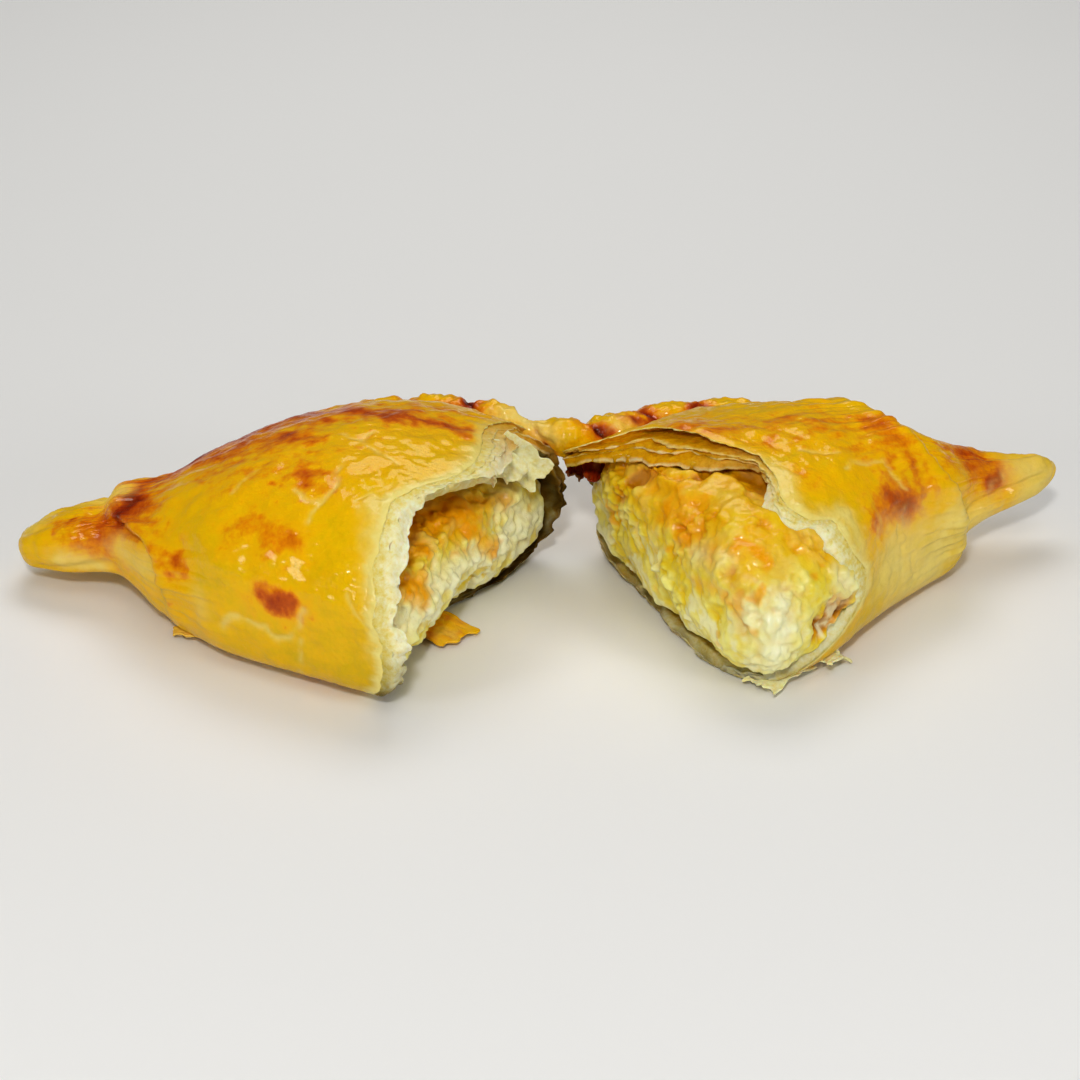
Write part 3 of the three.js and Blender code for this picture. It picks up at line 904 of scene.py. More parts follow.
def apply_modifier(piece: bpy.types.Object, kind: str, **settings: object) -> None:
    """Adds a modifier with its settings and applies it.

    Args:
        piece: the piece that it changes.
        kind: Blender's name for the modifier.
        settings: the modifier's own properties.
    """
    activate(piece)
    modifier = piece.modifiers.new(kind.lower(), kind)
    for name, value in settings.items():
        setattr(modifier, name, value)
    bpy.ops.object.modifier_apply(modifier=modifier.name)


def hand_over(piece: bpy.types.Object, node: str, slot: str, *materials: bpy.types.Material) -> None:
    """Gives a piece its materials and its place in the model.

    Args:
        piece: the finished piece.
        node: the solid that it stands for.
        slot: the record's finish that it takes; not used.
        materials: its materials, in the order of its faces' numbers.
    """
    numbers = np.empty(len(piece.data.polygons), np.int32)
    piece.data.polygons.foreach_get("material_index", numbers)
    piece.data.materials.clear()
    for material in materials:
        piece.data.materials.append(material)
    piece.data.polygons.foreach_set("material_index", numbers)
    activate(piece)
    bpy.ops.object.shade_smooth()
    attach(piece, "root")
    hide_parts(node)


@dataclass(frozen=True)
class GlazedPastry:
    """Puff pastry brushed with egg and baked.

    It is a smooth golden skin with a soft shine, browned in patches, straw yellow where the dough stayed
    damp, and matt and pale where the glaze has cracked off. Blotch, speck and grain are the sizes of its
    noise, and mottle, dots and patches how much that changes the browning and the bare places.
    """

    name: str = "puff pastry, egg-glazed and baked"
    toast: Stops = (
        (0.0, "#d8b200"), (0.2, "#eaba00"), (0.4, "#f0b600"), (0.54, "#e48c00"), (0.68, "#c65c01"),
        (0.84, "#983001"), (1.0, "#561602"),
    )
    bare: str = "#efe08c"
    blotch: float = 3.0
    speck: float = 0.8
    grain: float = 0.7
    mottle: float = 0.34
    dots: float = 0.16
    patches: float = 2.0
    relief: float = 0.35
    roughness: tuple[float, float] = (0.36, 0.6)

    def material(self) -> bpy.types.Material:
        """Builds the nodes of this finish.

        Returns:
            The material.
        """
        material, tree = new_material(self.name)
        place = add_node(tree, "ShaderNodeTexCoord").outputs["Object"]
        bake = add_node(tree, "ShaderNodeAttribute", attribute_name="bake").outputs["Color"]
        parts = add_node(tree, "ShaderNodeSeparateColor", {"Color": bake}).outputs
        blotch = add_node(tree, "ShaderNodeTexNoise", {
            "Vector": place, "Scale": per_metre(self.blotch), "Detail": 3.0, "Roughness": 0.6,
        }).outputs["Fac"]
        speck = add_node(tree, "ShaderNodeTexNoise", {
            "Vector": place, "Scale": per_metre(self.speck), "Detail": 2.0,
        }).outputs["Fac"]
        mottle = add_node(tree, "ShaderNodeMath", {0: blotch, 1: self.mottle, 2: -self.mottle / 2},
                          operation="MULTIPLY_ADD")
        dots = add_node(tree, "ShaderNodeMath", {0: speck, 1: self.dots, 2: -self.dots / 2},
                        operation="MULTIPLY_ADD")
        uneven = add_node(tree, "ShaderNodeMath", {0: mottle.outputs[0], 1: dots.outputs[0]}).outputs[0]
        browned = add_node(tree, "ShaderNodeMath", {0: parts["Red"], 1: uneven}, use_clamp=True)
        skin = add_node(tree, "ShaderNodeValToRGB", {"Fac": browned.outputs[0]}, self.toast)
        patchy = add_node(tree, "ShaderNodeMath", {0: uneven, 1: self.patches, 2: 1.0},
                          operation="MULTIPLY_ADD")
        flaked = add_node(tree, "ShaderNodeMath", {0: patchy.outputs[0], 1: parts["Green"]},
                          operation="MULTIPLY", use_clamp=True)
        colour = add_node(tree, "ShaderNodeMix", {
            MIX_SHARE: flaked.outputs[0], MIX_FROM: skin.outputs["Color"], MIX_TO: linear(self.bare),
        }, data_type="RGBA")
        shine = add_node(tree, "ShaderNodeMapRange", {
            "Value": flaked.outputs[0], "To Min": self.roughness[0], "To Max": self.roughness[1],
        })
        fine = add_node(tree, "ShaderNodeTexNoise", {
            "Vector": place, "Scale": per_metre(self.grain), "Detail": 3.0, "Roughness": 0.6,
        })
        bump = add_node(tree, "ShaderNodeBump", {
            "Height": fine.outputs["Fac"], "Strength": 0.6, "Distance": self.relief * MM,
        })
        shader = add_node(tree, "ShaderNodeBsdfPrincipled", {
            "Base Color": colour.outputs[MIX_COLOUR], "Roughness": shine.outputs["Result"],
            "Normal": bump.outputs["Normal"], "IOR": 1.45, "Specular IOR Level": 0.04,
            "Subsurface Weight": 0.06, "Subsurface Radius": (1.0, 0.45, 0.12), "Subsurface Scale": 1.2 * MM,
            "Coat Weight": 0.5, "Coat Roughness": 0.12,
        })
        add_node(tree, "ShaderNodeOutputMaterial", {"Surface": shader.outputs["BSDF"]})
        return material


@dataclass(frozen=True)
class TornPastry:
    """Puff pastry torn open: dry, matt, cream-coloured sheets, and a darker greasy wall inside."""

    name: str = "puff pastry, torn into sheets"
    sheet: Stops = ((0.0, "#cda41a"), (0.4, "#dec65a"), (0.7, "#e8dea0"), (1.0, "#f0eecc"))
    wall: Stops = ((0.0, "#a86c02"), (0.45, "#d09408"), (1.0, "#e8ba1c"))
    # Dark brown of the underside and back of the tear: partly burnt crust, partly painted shade.
    burnt_and_shaded: str = "#574312"
    fibre: float = 0.9
    relief: float = 0.35
    roughness: float = 0.68

    def material(self) -> bpy.types.Material:
        """Builds the nodes of this finish.

        Returns:
            The material.
        """
        material, tree = new_material(self.name)
        place = add_node(tree, "ShaderNodeTexCoord").outputs["Object"]
        tear = add_node(tree, "ShaderNodeAttribute", attribute_name="tear").outputs["Color"]
        parts = add_node(tree, "ShaderNodeSeparateColor", {"Color": tear}).outputs
        fibre = add_node(tree, "ShaderNodeTexNoise", {
            "Vector": place, "Scale": per_metre(self.fibre), "Detail": 4.0, "Roughness": 0.65,
        }).outputs["Fac"]
        layered = add_node(tree, "ShaderNodeMath", {0: fibre, 1: parts["Blue"]}, use_clamp=True)
        sheet = add_node(tree, "ShaderNodeValToRGB", {"Fac": layered.outputs[0]}, self.sheet)
        wall = add_node(tree, "ShaderNodeValToRGB", {"Fac": fibre}, self.wall)
        inner = add_node(tree, "ShaderNodeMix", {
            MIX_SHARE: parts["Red"], MIX_FROM: sheet.outputs["Color"], MIX_TO: wall.outputs["Color"],
        }, data_type="RGBA")
        colour = add_node(tree, "ShaderNodeMix", {
            MIX_SHARE: parts["Green"], MIX_FROM: inner.outputs[MIX_COLOUR], MIX_TO: linear(self.burnt_and_shaded),
        }, data_type="RGBA")
        bump = add_node(tree, "ShaderNodeBump", {
            "Height": fibre, "Strength": 0.5, "Distance": self.relief * MM,
        })
        shader = add_node(tree, "ShaderNodeBsdfPrincipled", {
            "Base Color": colour.outputs[MIX_COLOUR], "Roughness": self.roughness,
            "Normal": bump.outputs["Normal"], "IOR": 1.45, "Specular IOR Level": 0.05,
            "Subsurface Weight": 0.3, "Subsurface Radius": (1.0, 0.6, 0.2), "Subsurface Scale": 1.6 * MM,
        })
        add_node(tree, "ShaderNodeOutputMaterial", {"Surface": shader.outputs["BSDF"]})
        return material


@dataclass(frozen=True)
class MeltedCheese:
    """White cheese curds melted together.

    They are moist and slightly see-through, cream with orange fat in the creases. The cream goes from ochre
    to pale with a lightness kept on each point, which holds painted light on raised crumbs and painted shade
    in creases, cracks and holes. Clump and grain are the sizes of the noise, uneven and patches how much it
    changes the colours, and fat the shares of fat between which the cheese turns orange.
    """

    name: str = "fresh white cheese, melted into curds"
    cream: Stops = (
        (0.0, "#b07200"), (0.25, "#da9c02"), (0.45, "#e6c010"), (0.7, "#ead23a"), (1.0, "#f2ea88"),
    )
    orange: str = "#eea400"
    white: str = "#f2f0c6"
    clump: float = 3.5
    grain: float = 0.7
    uneven: float = 0.5
    patches: float = 2.4
    fat: tuple[float, float] = (0.15, 0.9)
    relief: float = 0.3
    roughness: float = 0.36

    def material(self) -> bpy.types.Material:
        """Builds the nodes of this finish.

        Returns:
            The material.
        """
        material, tree = new_material(self.name)
        place = add_node(tree, "ShaderNodeTexCoord").outputs["Object"]
        curd = add_node(tree, "ShaderNodeAttribute", attribute_name="curd").outputs["Color"]
        parts = add_node(tree, "ShaderNodeSeparateColor", {"Color": curd}).outputs
        clump = add_node(tree, "ShaderNodeTexNoise", {
            "Vector": place, "Scale": per_metre(self.clump), "Detail": 4.0, "Roughness": 0.6,
        }).outputs["Fac"]
        grain = add_node(tree, "ShaderNodeTexNoise", {
            "Vector": place, "Scale": per_metre(self.grain), "Detail": 3.0, "Roughness": 0.6,
        }).outputs["Fac"]
        uneven = add_node(tree, "ShaderNodeMath", {0: clump, 1: self.uneven, 2: -self.uneven / 2},
                          operation="MULTIPLY_ADD").outputs[0]
        # Blue holds the lightness: painted light on crumbs, painted shade in creases and holes.
        height = add_node(tree, "ShaderNodeMath", {0: parts["Blue"], 1: uneven}, use_clamp=True)
        cream = add_node(tree, "ShaderNodeValToRGB", {"Fac": height.outputs[0]}, self.cream)
        patchy = add_node(tree, "ShaderNodeMath", {0: uneven, 1: self.patches, 2: 1.0},
                          operation="MULTIPLY_ADD").outputs[0]
        fatty = add_node(tree, "ShaderNodeMath", {0: patchy, 1: parts["Red"]}, operation="MULTIPLY")
        fat = add_node(tree, "ShaderNodeMapRange", {
            "Value": fatty.outputs[0], "From Min": self.fat[0], "From Max": self.fat[1],
        })
        milk = add_node(tree, "ShaderNodeMath", {0: patchy, 1: parts["Green"]}, operation="MULTIPLY",
                        use_clamp=True)
        whiter = add_node(tree, "ShaderNodeMix", {
            MIX_SHARE: milk.outputs[0], MIX_FROM: cream.outputs["Color"], MIX_TO: linear(self.white),
        }, data_type="RGBA")
        colour = add_node(tree, "ShaderNodeMix", {
            MIX_SHARE: fat.outputs["Result"], MIX_FROM: whiter.outputs[MIX_COLOUR],
            MIX_TO: linear(self.orange),
        }, data_type="RGBA")
        bump = add_node(tree, "ShaderNodeBump", {
            "Height": grain, "Strength": 0.45, "Distance": self.relief * MM,
        })
        shader = add_node(tree, "ShaderNodeBsdfPrincipled", {
            "Base Color": colour.outputs[MIX_COLOUR], "Roughness": self.roughness,
            "Normal": bump.outputs["Normal"], "IOR": 1.4, "Specular IOR Level": 0.2,
            "Subsurface Weight": 0.16, "Subsurface Radius": (1.0, 0.75, 0.35), "Subsurface Scale": 1.4 * MM,
            "Coat Weight": 0.35, "Coat Roughness": 0.12,
        })
        add_node(tree, "ShaderNodeOutputMaterial", {"Surface": shader.outputs["BSDF"]})
        return material


@dataclass(frozen=True)
class Sheet:
    """One broken sheet of the crust.

    Top and bottom lie inside the skin. Reach is how much of the tear's reach it has, splay how far it waves
    and droop how far it hangs down where it is soaked with fat.
    """

    top: float
    bottom: float
    reach: float
    splay: float
    droop: float


class Zone(Enum):
    """The part of the crust that a row of points belongs to."""

    SKIN = 0.0
    RIM = 1.0
    WALL = 2.0


@dataclass(frozen=True)
class Oven:
    """How much each cause browns the skin, from 0 for raw to 1 for burnt.

    Marks brown less where the skin is brown already, and pale places hold the browning back.
    """

    everywhere: float = 0.12
    streaks: float = 0.1
    high_up: float = 0.16
    behind: float = 0.12
    spots: float = 0.3
    below: float = 0.24
    marks: float = 0.85
    already: float = 0.3
    held_back: float = 0.6


@dataclass
class CrustHalf:
    """One half of the crust: the glazed skin, the broken sheets of the tear and the wall inside.

    Scorch is how dark the underside and the back of the tear are: partly burnt crust, partly painted
    shade. Crowding draws rows together at the tear and the tip, and the two shares thin out columns that
    hardly show. Edge sizes are those of the noise that makes a sheet's edge broadly wavy, bitten, toothed,
    curled and gaping. The ripples are first the relief and the browning of the skin, then the fluff and the
    colours of the torn sheets.
    """

    shape: HalfShape
    view: PhotoView
    marks: tuple[Mark, ...]
    # How dark the underside and back of the tear are: burnt crust and painted shade.
    scorch_and_shade: float
    oven: Oven = Oven()
    columns: int = 400
    outer_rows: int = 166
    inner_rows: int = 34
    crowding: float = 0.5
    inner_crowding: float = 1.3
    turn_steps: int = 4001
    turn_station: float = 14.0
    underside_top: float = 2.0
    underside_share: float = 0.25
    back_share: float = 0.6
    skin: float = 0.5
    sheets: tuple[Sheet, ...] = (
        Sheet(0.5, 0.85, 0.45, 0.5, 0.0), Sheet(1.15, 1.5, 0.78, 0.8, 0.3), Sheet(1.85, 2.5, 1.0, 0.9, 1.0),
    )
    sheet_parts: tuple[float, ...] = (0.12, 0.3, 0.5, 0.7, 0.88)
    frayed: float = 0.1
    edge_sizes: tuple[float, ...] = (12.0, 4.6, 1.5, 4.0, 7.0)
    edge_seed: int = 51
    edge_level: float = 90.0
    least_reach: float = 0.5
    rim_floor: float = 0.15
    tip_close: float = 1.5
    dimples: Ripple = Ripple(0.45, 9.5, 101, 3)
    crinkles: Ripple = Ripple(0.34, 6.0, 121)
    crinkle_level: float = 0.25
    creping: Ripple = Ripple(0.14, 2.2, 125)
    grain: Ripple = Ripple(0.05, 1.1, 131)
    wrinkles: Ripple = Ripple(0.9, 3.4, 151)
    blisters: Lumps = Lumps(13.0, 171)
    streaks: Ripple = Ripple(1.0, 2.2, 201, 3)
    clouds: Ripple = Ripple(0.14, 17.0, 211, 3)
    spots: Ripple = Ripple(1.0, 12.0, 231)
    fluff: Ripple = Ripple(1.0, 2.0, 301, 3)
    fibres: Ripple = Ripple(1.0, 2.2, 305)
    # Unevenness of the burnt and painted-shade darkening of the tear.
    scorch_and_shade_noise: Ripple = Ripple(0.4, 5.0, 311, 3)
    plies: Ripple = Ripple(0.08, 1.0, 321, 1)
    ply: float = 0.28
    threads: Ripple = Ripple(0.14, 1.6, 325)

    def turns(self) -> Array:
        """Angles round the section, from the middle of the underside round to it again.

        Returns:
            Angles that lie closest together where the crust shows most.
        """
        angle = np.linspace(-0.5 * math.pi, 1.5 * math.pi, self.turn_steps)
        ring = self.shape.section(np.full_like(angle, self.turn_station), angle)
        step = np.linalg.norm(np.diff(ring, axis=0), axis=-1)
        step *= np.where(ring[1:, 2] < self.underside_top, self.underside_share, 1.0)
        step *= 1 - (1 - self.back_share) * rise(0.5, 0.9, -np.cos(angle[1:]))
        walked = np.concatenate([[0], np.cumsum(step)])
        return np.interp(np.linspace(0, walked[-1], self.columns), walked, angle)

    def lifted(self, along: Array, angle: Array, edge: Array) -> Array:
        """How far the skin stands off the sheets below it."""
        lift = np.maximum(around(self.shape.lift, angle), 0)
        return lift * (1 - rise(0, 4 + 5 * lift, along - edge))

    def torn(self, turn: Array) -> Row:
        """How far the sheets reach out of the tear, how far they came apart and how soaked they are."""
        shape = self.shape
        return around(shape.reach, turn), around(shape.layers, turn), around(shape.amber, turn)

    def rows(self) -> tuple[Array, dict[str, Array]]:
        """Lays out the half from the tip over the skin to the tear, through its sheets and in again.

        Returns:
            Rows by columns of points, and the fields to keep: along, turn, zone, inset and deep.
        """
        shape, turn = self.shape, self.turns()
        edge = shape.torn_edge(turn)
        ramp = np.linspace(1, 0, self.outer_rows)
        flat = np.zeros_like(turn)
        laid: list[tuple[Zone, Array, Array, Array, Array]] = []
        for part in ramp - self.crowding * np.sin(2 * math.pi * ramp) / (2 * math.pi):
            along = edge + (HALF_LENGTH - edge) * part
            closing = round_end(along, HALF_LENGTH, shape.tip_round)
            raised = (shape.bump(along, turn) + self.lifted(along, turn, edge)) * closing
            laid.append((Zone.SKIN, shape.section(along, turn, -raised, closing), along, flat, flat))
        for along, inset, deep in self.rim(turn, edge):
            raised = shape.bump(along, turn) * np.clip(1 - inset / CRUST, 0, 1)
            laid.append((Zone.RIM, shape.section(along, turn, inset - raised), along, inset, deep))
        inner_edge = along
        for part in np.linspace(0, 1, self.inner_rows + 1)[1:]:
            along = inner_edge + (shape.hollow_end - inner_edge) * part**self.inner_crowding
            closing = round_end(along, shape.hollow_end, HOLLOW_ROUND)
            ring = shape.section(along, turn, CRUST, closing)
            deep = rise(0.0, 5.0, along - inner_edge)
            laid.append((Zone.WALL, ring, along, np.full_like(turn, CRUST), deep))
        zones, rings, alongs, insets, depths = zip(*laid)
        return np.stack(rings), {
            "along": np.stack(alongs),
            "turn": np.stack([turn] * len(laid)),
            "zone": np.stack([np.full_like(turn, zone.value) for zone in zones]),
            "inset": np.stack(insets),
            "deep": np.stack(depths),
        }

    def rim(self, turn: Array, edge: Array) -> list[Row]:
        """The rows across the broken sheets, from the skin's edge to the wall inside.

        Args:
            turn: the angle of each column.
            edge: where the skin is torn.

        Returns:
            For each row its distance along, its inset, and how much it looks like the wall inside.
        """
        reach, layers, _ = self.torn(turn)
        lift = np.maximum(around(self.shape.lift, turn), 0)
        # The skin's own edge is thin, and where the lid gapes the first sheet starts deep under it.
        gaping = np.clip(lift / 0.4, 0, 1)
        under = 0.35 * self.skin - lift
        root = np.maximum(edge - 0.15 + (0.3 + 3.2 * lift) * gaping, edge - reach - 0.15)
        rows = [
            (edge - 0.08, under, np.zeros_like(turn)),
            (edge - 0.1 + 0.5 * gaping, under + 0.1, gaping),
            (edge + 0.5 * (root - edge), (under + self.skin) / 2, gaping),
            (root, np.full_like(turn, self.skin), gaping),
        ]
        for number, sheet in enumerate(self.sheets):
            broken = self.break_sheet(sheet, number, turn, edge, root)
            rows += broken
            root = broken[-1][0]
        # Where the sheets hold together, they make one rounded edge.
        joined = np.clip(1.2 - 2 * layers, 0, 1)
        softened = []
        for along, inset, deep in rows:
            out = np.clip((edge - along) / np.maximum(reach, self.least_reach), 0, 1)
            bevel = 0.12 + (CRUST - 0.12) * (1 - np.sqrt(1 - 0.98 * out**5))
            softened.append((along, inset + joined * (bevel - inset), deep))
        return softened

    def break_sheet(self, sheet: Sheet, number: int, turn: Array, edge: Array, root: Array) -> list[Row]:
        """The rows over one broken sheet and back under it.

        Args:
            sheet: its sizes.
            number: its number, counted from the skin.
            turn: the angle of each column.
            edge: where the skin is torn.
            root: where the sheet comes out from under the one above.

        Returns:
            Rows as rim gives them, of which the last is the root of the sheet below.
        """
        reach, layers, amber = self.torn(turn)
        behind = rise(0.2, 0.7, -np.cos(turn))
        noises = []
        for k, size in enumerate(self.edge_sizes):
            ring = ring_point(turn, EDGE_RADIUS, self.edge_level + 40 * number + 300 * k)
            noises.append(layered_noise(ring, size, self.edge_seed + number + 10 * k, 2))
        broad, bitten, teeth, wave, gap = noises
        # Sheets tear in broad waves and bites, and dry ones also in small teeth.
        ragged = (0.4 + 0.6 * layers) * (2.8 * broad + (2.2 - amber) * (np.abs(bitten) - FOLDED_MEAN))
        calm = (1 - 0.7 * behind) * (1 - 0.6 * amber)
        ragged = ragged + (0.3 + 0.8 * layers) * (FOLDED_MEAN - np.abs(teeth)) * calm
        rim = edge - reach * sheet.reach - ragged
        curl = sheet.droop * layers * amber - sheet.splay * layers * wave
        middle = (sheet.top + sheet.bottom) / 2
        next_root = rim + layers * (0.25 + 2.8 * rise(-0.3, 0.7, gap))
        over = [(root + (rim - root) * part, sheet.top + curl * part**2, amber) for part in self.sheet_parts]
        return over + [
            (rim, middle - self.frayed + curl, 0.45 * amber),
            (rim, middle + self.frayed + curl, 0.6 * amber),
            (rim + 0.3 * layers * rise(-0.4, 0.4, gap), sheet.bottom + curl, amber),
            (next_root, np.full_like(turn, sheet.bottom + 0.1), amber),
        ]

    def relief(self, points: Array, along: Array, turn: Array, cracks: Array) -> Array:
        """How far the baked skin rises above its smooth form.

        Args:
            points: points of the skin.
            along: their distances along the half.
            turn: their angles round the section.
            cracks: how much the glaze has cracked there.

        Returns:
            Heights, below 0 in cracks and creases, that fade towards the floor, the tear and the tip.
        """
        past = along - around(self.shape.collar, turn)
        by_collar = np.exp(-((past + 3) / 13) ** 2)
        nearest, owner = self.blisters.at(points)
        height = self.dimples.waves(points) + self.grain.waves(points)
        height += self.crinkles.ridges(points, self.crinkle_level) + self.creping.ridges(points, 0)
        height += by_collar * self.wrinkles.ridges(drawn_out(along, turn, 0.14, SKIN_RADIUS))
        # Some lumps are blisters, and the collar has a ridge with a groove behind it.
        height += 0.5 * np.where(owner > 0.62, np.clip(1 - (nearest / 0.2) ** 2, 0, 1), 0)
        height += 0.7 * np.exp(-((past / 2.2) ** 2)) - 0.8 * np.exp(-(((past - 4) / 2.5) ** 2))
        height -= 0.35 * cracks
        for crease in self.shape.creases:
            share = (along - crease.start[0]) / (crease.end[0] - crease.start[0])
            line = np.radians(crease.start[1] + share * (crease.end[1] - crease.start[1]))
            gap = 9.0 * np.abs((turn - line + math.pi) % (2 * math.pi) - math.pi)
            ends = rise(-0.15, 0.15, share) * (1 - rise(0.95, 1.1, share))
            height -= crease.depth * ends * (np.exp(-((gap / crease.width) ** 2)) - 0.25)
        upward = rise(-0.85, -0.3, np.sin(turn)) * rise(0.2, 3.0, points[:, 2])
        settled = rise(0.0, 2.0, along - self.shape.torn_edge(turn))
        return height * upward * (0.3 + 0.7 * settled) * round_end(along, HALF_LENGTH, self.tip_close)

    def bake(self, canvas: Canvas, along: Array, turn: Array) -> tuple[Array, Array]:
        """How the skin took the oven's heat.

        Args:
            canvas: the points of the half.
            along: their distances along the half.
            turn: their angles round the section.

        Returns:
            How browned and how pale each point is.
        """
        points, oven = canvas.points, self.oven
        streaks = self.streaks.waves(drawn_out(along, turn, 0.2, SKIN_RADIUS))
        height = rise(24, 41, points[:, 2])
        top = rise(0.75, 1.0, np.sin(turn))
        behind = rise(0.1, 0.8, -np.cos(turn)) * rise(-0.6, 0.2, np.sin(turn))
        below = 1 - rise(0.4, 5.0, points[:, 2])
        spots = rise(0.55, 0.8, self.spots.waves(points)) * behind
        toast = oven.everywhere + self.clouds.waves(points) + oven.streaks * streaks * (0.5 + top)
        toast = toast + oven.high_up * height + oven.behind * behind
        toast = toast + oven.spots * spots + oven.below * below
        toast = toast + canvas.draw(self.marks, Bake.TOAST) * (oven.marks - oven.already * toast)
        by_tear = 1 - rise(0.2, 3.2, along - self.shape.torn_edge(turn) + 0.9 * streaks)
        by_tear = by_tear * (0.85 - 0.8 * around(self.shape.amber, turn))
        pale = np.maximum(canvas.draw(self.marks, Bake.PALE), by_tear)
        return toast * (1 - oven.held_back * pale), pale

    def fluffed(self, points: Array, along: Array, turn: Array) -> Array:
        """How far the torn sheets fluff up.

        Args:
            points: points of the sheets.
            along: their distances along the half.
            turn: their angles round the section.

        Returns:
            Heights above the sheets' smooth form.
        """
        _, layers, amber = self.torn(turn)
        fibres = self.fibres.waves(drawn_out(along, turn, 0.25, EDGE_RADIUS))
        fluff = (0.15 + 0.2 * layers) * self.fluff.waves(points)
        return fluff + (0.1 + 0.2 * layers) * (1 - 0.8 * amber) * fibres

    def tear_shades(self, points: Array, along: Array, turn: Array, inset: Array) -> tuple[Array, Array]:
        """How the torn sheets are coloured.

        Args:
            points: points of the sheets.
            along: their distances along the half.
            turn: their angles round the section.
            inset: how far they lie inside the skin.

        Returns:
            How dark each point is with burn and painted shade, and how light it is.
        """
        # The underside and the back of the tear are darkened, partly as burnt crust and partly as painted
        # shade, and sheets are lightest at their ends.
        low = 1 - rise(-0.8, 0.0, np.sin(turn))
        back = rise(0.35, 0.8, -np.cos(turn)) * (1 - rise(0.3, 0.7, np.sin(turn)))
        burnt_and_shaded = self.scorch_and_shade * np.maximum(low, back) * (0.9 + self.scorch_and_shade_noise.waves(points))
        reach = np.maximum(around(self.shape.reach, turn), self.least_reach)
        out = np.clip((self.shape.torn_edge(turn) - along) / reach, 0, 1)
        plies = self.plies.waves(np.stack([4 * turn, inset / self.ply, 0 * turn], -1))
        threads = self.threads.waves(drawn_out(along, turn, 0.25, EDGE_RADIUS))
        return burnt_and_shaded, 0.02 + 0.4 * out**1.5 + (threads + plies)

    def share_finishes(self, piece: bpy.types.Object, zone: Array) -> None:
        """Numbers the faces: 0 takes the glazed finish and 1 the torn one.

        Args:
            piece: the half.
            zone: the zone of each vertex.
        """
        corners = np.empty(len(piece.data.loops), np.int32)
        piece.data.loops.foreach_get("vertex_index", corners)
        starts = np.empty(len(piece.data.polygons), np.int32)
        piece.data.polygons.foreach_get("loop_start", starts)
        inside = np.maximum.reduceat(zone[corners], starts) > Zone.SKIN.value
        piece.data.polygons.foreach_set("material_index", inside.astype(np.int32))

    def build(self, glazed: bpy.types.Material, torn: bpy.types.Material) -> bpy.types.Object:
        """Makes the half and hands it over.

        Args:
            glazed: the finish of the skin.
            torn: the finish of the sheets and the wall inside.

        Returns:
            The finished piece.
        """
        points, fields = self.rows()
        piece = lofted(f"crust_{self.shape.name}", points, **fields)
        along, turn, zone, inset, deep = take_fields(piece, *fields)
        zone = np.rint(zone)
        skin = zone == Zone.SKIN.value
        points, normals = read_points(piece), read_points(piece, "normal")
        canvas = Canvas(self.view, points, normals)
        cracks = canvas.draw(self.marks, Bake.CRACK) * skin
        height = self.relief(points, along, turn, cracks) * skin
        height += self.fluffed(points, along, turn) * (zone == Zone.RIM.value)
        moved = points + normals * height[:, None]
        moved[:, 2] = np.maximum(moved[:, 2], np.where(skin, 0.0, self.rim_floor))
        write_points(piece, moved)
        toast, pale = self.bake(canvas, along, turn)
        tint(piece, "bake", toast, np.maximum(pale, 0.6 * cracks))
        # Darkness of the tear's underside and back, which is burn and painted shade, and the sheets'
        # lightness.
        burnt_and_shaded, light = self.tear_shades(points, along, turn, inset)
        tint(piece, "tear", deep, burnt_and_shaded * ~skin, light)
        self.share_finishes(piece, zone)
        hand_over(piece, "crust", "crust", glazed, torn)
        return piece


